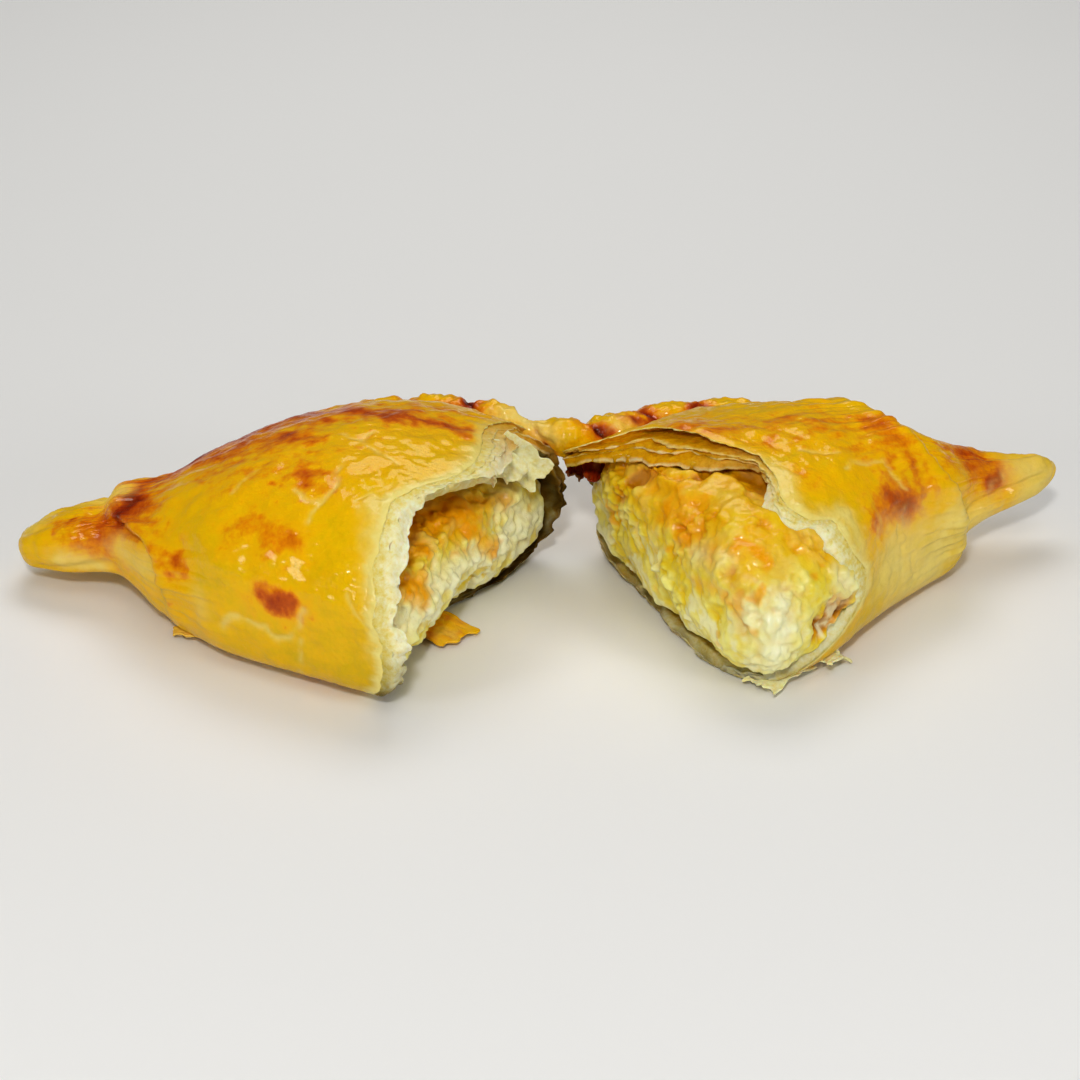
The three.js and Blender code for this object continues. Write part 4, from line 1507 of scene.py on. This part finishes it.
@dataclass
class RopeSeam:
    """The roped seam at the back: a strand of pressed crimps from one tip round to the other.

    It is pinched where the break is, a little left of its middle, and swells right of that. The ripples are
    its relief and its browning.
    """

    view: PhotoView
    marks: tuple[Mark, ...]
    radius: float = 4.7
    flatten: float = 0.82
    outward: Place = (0.0, 0.75, 0.66)
    sunk: float = -0.6
    pitch: float = 12.5
    crimp: float = 0.42
    pinch: float = 0.3
    pinch_width: float = 5.0
    break_left: float = 5.0
    swell: float = 0.12
    swell_right: float = 12.0
    swell_width: float = 9.0
    hinge_width: float = 18.0
    seam_angle: float = 148.0
    seam_drop: float = 26.0
    places: tuple[float, ...] = (66, 54, 41, 28, 14, 2)
    tip_share: float = 0.3
    tip_blunt: float = 8.0
    taper: float = 0.07
    steps: int = 420
    sides: int = 72
    folds: Ripple = Ripple(0.45, 5.0, 401, 3)
    grain: Ripple = Ripple(0.06, 1.1, 411)
    tatters: Ripple = Ripple(0.7, 2.8, 415)
    wrinkles: Ripple = Ripple(0.6, 3.2, 417)
    clouds: Ripple = Ripple(0.2, 6.0, 421, 3)

    def path(self) -> tuple[Array, Array]:
        """The strand's middle line.

        Returns:
            Its points, and the distance to each from the left end.
        """
        along = np.array(self.places, float)
        angle = np.radians(self.seam_angle + self.seam_drop * (along / HALF_LENGTH) ** 2)
        knots = np.concatenate([
            LEFT.section(along, angle, self.sunk), RIGHT.section(along[::-1], angle[::-1], self.sunk),
        ])
        walked = np.concatenate([[0], np.cumsum(np.linalg.norm(np.diff(knots, axis=0), axis=-1))])
        at = np.linspace(0, walked[-1], self.steps)
        line = [through(tuple(zip(walked, knots[:, axis])), at) for axis in range(3)]
        return np.stack(line, -1), at

    def strand(self) -> tuple[Array, dict[str, Array]]:
        """Lays the twisted strand round its middle line.

        Returns:
            Rows by columns of points, and the fields to keep: valley and hinge.
        """
        line, at = self.path()
        tangent = np.gradient(line, axis=0)
        tangent /= np.linalg.norm(tangent, axis=-1, keepdims=True)
        across = np.cross(tangent, np.array(self.outward))
        across /= np.linalg.norm(across, axis=-1, keepdims=True)
        out = np.cross(across, tangent)
        share = at / at[-1]
        ends = np.minimum(1, np.minimum(share, 1 - share) / self.taper)
        taper = self.tip_share + (1 - self.tip_share) * ends
        taper = taper * np.sqrt(np.clip(ends * self.tip_blunt, 0, 1))
        angle = np.linspace(0, 2 * math.pi, self.sides + 1)
        phase = (math.pi * at / self.pitch)[:, None] + angle[None, :] / 2
        crest = np.abs(np.sin(phase)) ** 0.5
        past = (at - at[-1] / 2 + self.break_left)[:, None]
        thin = 1 - self.pinch * np.exp(-((past / self.pinch_width) ** 2))
        thin = thin + self.swell * np.exp(-(((past - self.swell_right) / self.swell_width) ** 2))
        size = self.radius * thin * taper[:, None] * (1 - self.crimp * (1 - crest))
        points = line[:, None] + across[:, None] * (size * np.cos(angle))[..., None]
        points = points + out[:, None] * (size * self.flatten * np.sin(angle))[..., None]
        return points, {"valley": 1 - crest, "hinge": np.exp(-((past / self.hinge_width) ** 2))}

    def build(self, glazed: bpy.types.Material) -> bpy.types.Object:
        """Makes the strand and hands it over.

        Args:
            glazed: the finish of the pastry.

        Returns:
            The finished piece.
        """
        points, fields = self.strand()
        piece = lofted("rope_seam", points, **fields)
        valley, hinge = take_fields(piece, *fields)
        points, normals = read_points(piece), read_points(piece, "normal")
        canvas = Canvas(self.view, points, normals)
        height = self.folds.waves(points) + self.grain.waves(points)
        height = height + hinge * self.tatters.waves(points) + self.wrinkles.ridges(points)
        write_points(piece, points + normals * height[:, None])
        # Browning, darker in the valleys between crimps: painted shade in the creases.
        toast = 0.26 + self.clouds.waves(points) + 0.7 * valley
        toast = toast + 0.7 * canvas.draw(self.marks, Bake.TOAST)
        pale = canvas.draw(self.marks, Bake.PALE)
        tint(piece, "bake", toast * (1 - 0.7 * pale), pale)
        hand_over(piece, "crust", "crust", glazed)
        return piece


@dataclass(frozen=True)
class Curds:
    """How the curds of a filling lie at each of its points.

    Crumb is how high they stand, smooth how far they ran together and grainy how finely they broke. Mid and
    small are distances to the middles of curds, and their owners are shares that are one curd's own.
    """

    crumb: Array
    smooth: Array
    grainy: Array
    mid: Array
    mid_owner: Array
    small: Array
    small_owner: Array


@dataclass
class CheeseFilling:
    """The cheese of one half: crumbly curds where it is torn, smooth where it melted against the crust.

    Melted is how far its top ran smooth, and headroom how bare that top lies under the lid. Swell, cling,
    bulge and push are how far it swells all over, up to the lid, past the fold and out of the tear. Rough is
    how high its curds stand, fatty how much orange fat lies between them, and milk how white they are.
    """

    shape: HalfShape
    view: PhotoView
    marks: tuple[Mark, ...]
    melted: float
    swell: float
    headroom: float
    cling: float
    bulge: float
    fatty: float
    milk: float
    push: float
    rough: float
    voxel: float = 0.42
    floor_gap: float = 0.4
    hole: float = 2.2
    shift: float = 40.0
    warp: float = 1.2
    warp_size: float = 5.0
    warp_seed: int = 571
    big_size: float = 8.5
    big_seed: int = 505
    mid: Lumps = Lumps(4.4, 523, 8.0)
    small: Lumps = Lumps(2.3, 541, 12.0)
    fine: Lumps = Lumps(1.4, 559, 12.0)
    patches: Ripple = Ripple(1.0, 9.0, 511)
    crumbs: Ripple = Ripple(0.4, 3.4, 531)
    lumpy: Ripple = Ripple(0.4, 4.0, 551)
    grain: Ripple = Ripple(0.1, 1.3, 561)
    pockets: Ripple = Ripple(1.0, 7.0, 587, 3)
    melting: Ripple = Ripple(0.5, 8.0, 585)
    milkiness: Ripple = Ripple(1.0, 5.5, 591, 3)

    def reskin(self, piece: bpy.types.Object, rounds: int) -> None:
        """Gives a piece an even, fine skin, smoothed this many rounds."""
        apply_modifier(piece, "REMESH", mode="VOXEL", voxel_size=self.voxel * MM)
        apply_modifier(piece, "SMOOTH", factor=0.5, iterations=rounds)

    def body(self) -> bpy.types.Object:
        """Copies the filling's solid.

        Returns:
            The copy, merged and evenly skinned.
        """
        activate(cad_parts[f"filling_{self.shape.name}"])
        bpy.ops.object.duplicate()
        piece = bpy.context.object
        piece.name = f"cheese_{self.shape.name}"
        for key in [key for key in piece.keys() if key.startswith("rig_")]:
            del piece[key]
        piece.parent = None
        bpy.ops.object.mode_set(mode="EDIT")
        bpy.ops.mesh.select_all(action="SELECT")
        bpy.ops.mesh.remove_doubles(threshold=SOLID_WELD * MM)
        bpy.ops.object.mode_set(mode="OBJECT")
        self.reskin(piece, 6)
        return piece

    @property
    def ahead(self) -> Array:
        """The direction from the torn face into the half."""
        return np.array([self.shape.side * math.cos(self.shape.yaw), math.sin(self.shape.yaw), 0])

    def exposed(self, points: Array, normals: Array) -> tuple[Array, Array, Array]:
        """Finds where the cheese is free of the crust.

        Args:
            points: points of the cheese.
            normals: their normals.

        Returns:
            How far each point lies past the tear, how far it faces out of the half, and how bare it is.
        """
        along, _, angle = self.shape.in_half(points)
        past_tear = 1 - rise(-5.0, -1.0, along - around(self.shape.tear, angle))
        facing = rise(0.15, 0.6, -(normals @ self.ahead))
        roof = self.headroom * rise(0.2, 0.5, np.sin(angle)) * (1 - rise(18, 34, along))
        return past_tear, facing, np.maximum(np.maximum(past_tear, roof), facing)

    def spread(self, piece: bpy.types.Object) -> None:
        """Swells the cheese where the tear lets it out, up to the lid and past the fold.

        Args:
            piece: the copy of the filling's solid.
        """
        points, normals = read_points(piece), read_points(piece, "normal")
        up = points[:, 2]
        along, _, angle = self.shape.in_half(points)
        past_tear, facing, bare = self.exposed(points, normals)
        by_lid = 1 - rise(8.0, 18.0, np.abs(along - around(self.shape.tear, angle)))
        height = self.swell * rise(1.0, 7.0, up)
        height = height + self.cling * by_lid * rise(0.4, 0.8, np.sin(angle)) * (1 - facing)
        height = height + self.bulge * past_tear * rise(0.3, 0.9, np.cos(angle)) * rise(3.0, 9.0, up)
        pushed = self.push * facing * (1 - 0.5 * rise(8, 24, up)) * rise(3.5, 10.0, up)
        moved = points + normals * (height * bare)[:, None] - self.ahead * pushed[:, None]
        moved[:, 2] = np.maximum(moved[:, 2], self.floor_gap)
        write_points(piece, moved)
        self.reskin(piece, 3)

    def curdle(self, points: Array, white: Array) -> Curds:
        """Breaks the cheese into curds.

        Args:
            points: points of the cheese.
            white: where white curds show.

        Returns:
            How the curds lie.
        """
        sway = [layered_noise(points, self.warp_size, self.warp_seed + axis, 2) for axis in range(3)]
        warped = points + self.warp * np.stack(sway, -1)
        big, _ = Lumps(self.big_size, self.big_seed + int(self.shape.side)).at(warped)
        mid, mid_owner = self.mid.at(warped + self.shift)
        small, small_owner = self.small.at(0.4 * warped + 0.6 * points + 2 * self.shift)
        fine, _ = self.fine.at(points + 3 * self.shift)
        along, _, angle = self.shape.in_half(points)
        smooth = self.melted * rise(0.45, 0.85, np.sin(angle)) * rise(4, 12, along)
        crumbly = 1 - 0.7 * smooth
        grainy = 0.25 + 0.95 * np.maximum(white, rise(-0.1, 0.35, self.patches.waves(points)))
        # Curds from large to fine. The finer ones stand out where the cheese is white or patchy.
        coarse = 0.6 * (LUMP_MEAN - mid) + 0.4 * (mid_owner - 0.5) + self.crumbs.ridges(warped)
        broken = 2.0 * (LUMP_MEAN - small) + 0.6 * (small_owner - 0.5) + 0.9 * (LUMP_MEAN - fine)
        crumb = 1.5 * (LUMP_MEAN - big) + crumbly * coarse + grainy * crumbly * broken
        crumb = crumb + self.lumpy.waves(points) + self.grain.waves(points)
        return Curds(crumb, smooth, grainy, mid, mid_owner, small, small_owner)

    def colours(self, canvas: Canvas, curds: Curds, white: Array) -> Row:
        """How the cheese is coloured.

        Args:
            canvas: the points of the cheese.
            curds: how its curds lie.
            white: where white curds show.

        Returns:
            How orange, how white and how light each point is, the lightness holding painted light and shade.
        """
        points = canvas.points
        up = points[:, 2]
        crease = rise(0.38, 0.56, curds.mid)
        # Cracks between small curds; they only darken the lightness, as painted shade.
        crack = curds.grainy * rise(0.4, 0.6, curds.small)
        # Fat lies in the creases, and the top is orange, partly melted cheese and partly painted shade under
        # the lid. The curds are whitest low down.
        pockets = rise(0.2, 0.6, self.pockets.waves(points))
        melt_and_shade = 0.6 * rise(17, 30, up) * (0.8 + self.melting.waves(points))
        fat = self.fatty * pockets * (0.1 + 0.9 * crease) * (0.4 + 0.6 * rise(4, 16, up))
        orange = np.maximum(np.maximum(canvas.draw(self.marks, Bake.ORANGE), melt_and_shade), fat)
        milky = self.milkiness.waves(points) + 0.5 * (curds.mid_owner - 0.5)
        milky = rise(-0.05, 0.35, milky + 0.35 * (curds.small_owner - 0.5))
        milky = self.milk * milky * (0.2 + 0.6 * (1 - rise(8, 24, up)))
        # Lightness: painted light on raised crumbs, painted shade in creases and cracks, darker higher up
        # and where smooth.
        light = 0.92 + 0.06 * self.milk + 0.18 * curds.crumb - 0.1 * curds.smooth
        light = light - 0.26 * rise(8, 30, up) - 0.08 * crease - 0.14 * crack
        return orange, np.maximum(white, milky) * (1 - 0.8 * orange), light

    def build(self, cheese: bpy.types.Material) -> bpy.types.Object:
        """Makes the filling from its solid's form and hands it over.

        Args:
            cheese: the finish of the cheese.

        Returns:
            The finished piece.
        """
        piece = self.body()
        self.spread(piece)
        points, normals = read_points(piece), read_points(piece, "normal")
        canvas = Canvas(self.view, points, normals)
        white, hollow = (canvas.draw(self.marks, kind) for kind in (Bake.WHITE, Bake.HOLLOW))
        curds = self.curdle(points, white)
        bare = self.exposed(points, normals)[2]
        height = self.rough * curds.crumb * bare + (1 - bare) * np.minimum(0, curds.crumb) * 0.2
        height = height - self.hole * hollow
        moved = points + normals * height[:, None]
        moved[:, 2] = np.maximum(moved[:, 2], self.floor_gap)
        write_points(piece, moved)
        apply_modifier(piece, "SMOOTH", factor=0.5, iterations=1)
        orange, white, light = self.colours(canvas, curds, white)
        # The lightness is lowered in holes: painted shade.
        tint(piece, "curd", orange, white, light - hollow)
        hand_over(piece, f"filling_{self.shape.name}", "filling", cheese)
        return piece


class Lay(Enum):
    """The way that the flat side of a flake faces."""

    LYING = (0.0, 0.0, 1.0)
    UPRIGHT = (0.0, 1.0, 0.0)


@dataclass(frozen=True)
class Flake:
    """A thin flake of crust, from a root in the crust to its free end, given along, forward and up."""

    shape: HalfShape
    root: Place
    end: Place
    width: float
    toast: float
    pale: float
    lay: Lay = Lay.LYING
    curl: float = 0.8
    thickness: float = 0.5


@dataclass
class Flakes:
    """The loose flakes and shards that hang from the tears and lie beside them.

    Each has ragged sides and a torn tip, narrows a little towards it and is rumpled. Those that are paler
    than the limit take the torn finish.
    """

    flakes: tuple[Flake, ...] = (
        Flake(LEFT, (1.5, 26.5, 34.6), (-6.5, 20.3, 26), 8.5, 0.05, 1.0, Lay.UPRIGHT, 0.6, 0.35),
        Flake(LEFT, (2, 31, 36), (-4.5, 28, 30), 6, 0.05, 1.0, Lay.UPRIGHT, 0.5, 0.35),
        Flake(LEFT, (1, 36, 36.5), (-4, 35, 31.5), 5, 0.05, 1.0, Lay.UPRIGHT, 0.4, 0.35),
        Flake(LEFT, (14, 40.5, 1.0), (0, 44, 1.2), 10.5, 0.38, 0.05),
        Flake(LEFT, (39.6, 64.6, 0.9), (51, 66.5, 1.4), 3.4, 0.25, 0.3),
        Flake(LEFT, (58, 55, 1.2), (61.5, 57.5, 2.6), 2.2, 0.3, 0.2),
        Flake(RIGHT, (21.5, 66.4, 0.8), (20.5, 68.8, 9), 3.6, 0.1, 0.9, Lay.UPRIGHT, 0.5),
        Flake(RIGHT, (16, 63.5, 0.9), (4, 69.2, 1.6), 8.5, 0.1, 0.7),
        Flake(RIGHT, (24, 66.5, 0.8), (18.5, 69.2, 3), 4.5, 0.1, 0.8),
        Flake(RIGHT, (2, 5, 24), (-2, 9, 20.5), 4, 0.95, 0.0, Lay.UPRIGHT),
        Flake(RIGHT, (2, 12, 26.5), (-1, 15, 22.5), 4.5, 0.9, 0.0, Lay.UPRIGHT),
    )
    length_cells: int = 30
    width_cells: int = 18
    narrowing: float = 0.12
    first_seed: int = 600
    seeds_each: int = 20
    floor_gap: float = 0.05
    pale_limit: float = 0.5
    grain: Ripple = Ripple(0.08, 1.2, 701)
    browning: Ripple = Ripple(0.16, 3.5, 711, 3)
    fading: Ripple = Ripple(0.2, 3.0, 721)
    lightness: float = 0.3

    def stand_in(self, name: str) -> bpy.types.Material:
        """A plain material that keeps a flake's finish apart until it is dressed."""
        return bpy.data.materials.get(name) or bpy.data.materials.new(name)

    def sheet(self, flake: Flake, number: int) -> bpy.types.Object:
        """Makes one flake.

        Args:
            flake: its sizes.
            number: its number, which gives it edges of its own.

        Returns:
            The flake, as a thin closed sheet.
        """
        ends = np.array([flake.root, flake.end], float)
        start, end = flake.shape.on_table(*ends.T)
        run = (end - start) / np.linalg.norm(end - start)
        across = np.cross(run, np.array(flake.lay.value))
        across /= np.linalg.norm(across)
        up = np.cross(across, run)
        u, v = np.meshgrid(np.linspace(0, 1, self.length_cells), np.linspace(-1, 1, self.width_cells),
                           indexing="ij")
        seed = self.first_seed + self.seeds_each * number
        one = np.ones_like(u)
        side = np.stack([9 * u, 9 * np.sign(v), 3 * one], -1).reshape(-1, 3)
        tip = np.stack([flake.width / 2 * v, 5 * one, 7 * one], -1).reshape(-1, 3)
        flat = np.stack([4 * u, 4 * v, 9 * one], -1).reshape(-1, 3)
        ragged = Ripple(0.8, 2.0, seed).waves(side).reshape(u.shape)
        torn = Ripple(1.3, 4.5, seed + 3).waves(tip) + Ripple(0.9, 1.4, seed + 9).waves(tip)
        rumpled = Ripple(0.5, 1.6, seed + 5).waves(flat).reshape(u.shape)
        half_width = flake.width / 2 * (1 - self.narrowing * u) + ragged
        length = np.linalg.norm(end - start) * u + torn.reshape(u.shape) * u**2
        lift = flake.curl * np.sin(math.pi * u) + rumpled
        points = start + run * length[..., None] + across * (half_width * v)[..., None]
        points = points + up * lift[..., None]
        points[..., 2] = np.maximum(points[..., 2], flake.thickness / 2 + self.floor_gap)
        piece = lofted(f"flake_{number}", points, toast=np.full(u.shape, flake.toast),
                       pale=np.full(u.shape, flake.pale))
        apply_modifier(piece, "SOLIDIFY", thickness=flake.thickness * MM, offset=0.0)
        apply_modifier(piece, "SUBSURF", levels=1, render_levels=1)
        for material in ("glazed", "torn"):
            piece.data.materials.append(self.stand_in(material))
        finish = np.full(len(piece.data.polygons), int(flake.pale > self.pale_limit), np.int32)
        piece.data.polygons.foreach_set("material_index", finish)
        return piece

    def build(self, glazed: bpy.types.Material, torn: bpy.types.Material) -> bpy.types.Object:
        """Makes all the flakes as one piece and hands it over.

        Args:
            glazed: the finish of browned flakes.
            torn: the finish of pale ones.

        Returns:
            The finished piece.
        """
        made = [self.sheet(flake, number) for number, flake in enumerate(self.flakes)]
        activate(made[0])
        for piece in made:
            piece.select_set(True)
        bpy.ops.object.join()
        piece = bpy.context.object
        piece.name = "flakes"
        points, normals = read_points(piece), read_points(piece, "normal")
        write_points(piece, points + normals * self.grain.waves(points)[:, None])
        toast, pale = take_fields(piece, "toast", "pale")
        tint(piece, "bake", toast + self.browning.waves(points), pale + self.fading.waves(points))
        tint(piece, "tear", 0 * pale, 0 * pale, np.full_like(pale, self.lightness))
        hand_over(piece, "crust", "crust", glazed, torn)
        return piece


@dataclass(frozen=True)
class Lamp:
    """A soft square lamp: where it stands, where it points, its side and its power in watts."""

    name: str
    place: Place
    aim: Place
    side: float
    watts: float


@dataclass
class Studio:
    """A plain pale floor under soft studio light."""

    floor_side: float = 8000.0
    floor_colour: str = "#eeedea"
    sky_colour: str = "#ffffff"
    sky_strength: float = 0.11
    sun_strength: float = 0.32
    sun_tilt: float = 24.0
    sun_turn: float = 12.0
    sun_width: float = 30.0
    lamps: tuple[Lamp, ...] = (
        Lamp("front", (-40.0, -560.0, 500.0), (0.0, 0.0, 15.0), 64.0, 1.75),
        Lamp("right", (430.0, -330.0, 230.0), (-20.0, 0.0, 15.0), 140.0, 0.5),
        Lamp("left", (-430.0, -330.0, 230.0), (20.0, 0.0, 15.0), 140.0, 0.42),
        Lamp("back", (0.0, 380.0, 620.0), (0.0, 360.0, 0.0), 420.0, 1.6),
    )

    def lay_floor(self) -> None:
        """Adds the floor with a matt paper finish."""
        deselect_all()
        bpy.ops.mesh.primitive_plane_add(size=self.floor_side * MM, location=(0, 0, 0))
        floor = bpy.context.object
        floor.name = "floor"
        material, tree = new_material("paper backdrop, matt")
        shader = add_node(tree, "ShaderNodeBsdfPrincipled", {
            "Base Color": linear(self.floor_colour), "Roughness": 0.9, "Specular IOR Level": 0.1,
        })
        add_node(tree, "ShaderNodeOutputMaterial", {"Surface": shader.outputs["BSDF"]})
        floor.data.materials.append(material)

    def hang_lamps(self) -> None:
        """Adds the lamps and the wide soft light of the ceiling."""
        for lamp in self.lamps:
            gap = np.array(lamp.place) - np.array(lamp.aim)
            tilt = math.atan2(math.hypot(gap[0], gap[1]), gap[2])
            heading = math.atan2(gap[1], gap[0]) + math.pi / 2
            bpy.ops.object.light_add(type="AREA", location=tuple(np.array(lamp.place) * MM),
                                     rotation=(tilt, 0, heading))
            light = bpy.context.object
            light.name = f"{lamp.name}_lamp"
            light.data.size = lamp.side * MM
            light.data.energy = lamp.watts
        turned = (math.radians(self.sun_tilt), 0, math.radians(self.sun_turn))
        bpy.ops.object.light_add(type="SUN", rotation=turned)
        sun = bpy.context.object
        sun.name = "ceiling"
        sun.data.energy = self.sun_strength
        sun.data.angle = math.radians(self.sun_width)

    def light_sky(self) -> None:
        """Adds an even sky, and keeps colours as plain as a product photo's."""
        world = bpy.data.worlds.new("studio sky")
        world.use_nodes = True
        sky = world.node_tree.nodes["Background"]
        sky.inputs["Color"].default_value = linear(self.sky_colour)
        sky.inputs["Strength"].default_value = self.sky_strength
        scene = bpy.context.scene
        scene.world = world
        scene.view_settings.view_transform = "Standard"
        scene.view_settings.look = "Medium High Contrast"

    def build(self) -> None:
        """Sets up the whole studio."""
        self.lay_floor()
        self.hang_lamps()
        self.light_sky()


def main() -> None:
    """Builds the empanada piece by piece, reports each piece, and sets up the studio round it."""
    logging.basicConfig(level=logging.INFO, format="%(name)s %(message)s")
    view = PhotoView()
    view.place_camera()
    glazed, torn, cheese = GlazedPastry().material(), TornPastry().material(), MeltedCheese().material()
    pieces = [
        CrustHalf(LEFT, view, LEFT_MARKS, scorch_and_shade=1.0).build(glazed, torn),
        CrustHalf(RIGHT, view, RIGHT_MARKS, scorch_and_shade=0.4).build(glazed, torn),
        RopeSeam(view, ROPE_MARKS).build(glazed),
        CheeseFilling(
            LEFT, view, LEFT_CHEESE_MARKS, melted=0.3, swell=0.6, headroom=1.0, cling=0.0, bulge=0.0,
            fatty=0.3, milk=2.0, push=1.2, rough=0.75,
        ).build(cheese),
        CheeseFilling(
            RIGHT, view, RIGHT_CHEESE_MARKS, melted=0.9, swell=1.4, headroom=0.7, cling=2.6, bulge=2.0,
            fatty=0.6, milk=0.9, push=0.0, rough=0.85,
        ).build(cheese),
        Flakes().build(glazed, torn),
    ]
    for piece in pieces:
        triangles = sum(len(face.vertices) - 2 for face in piece.data.polygons)
        log.info("%s: %d triangles", piece.name, triangles)
    Studio().build()


if __name__ == "__main__":
    main()
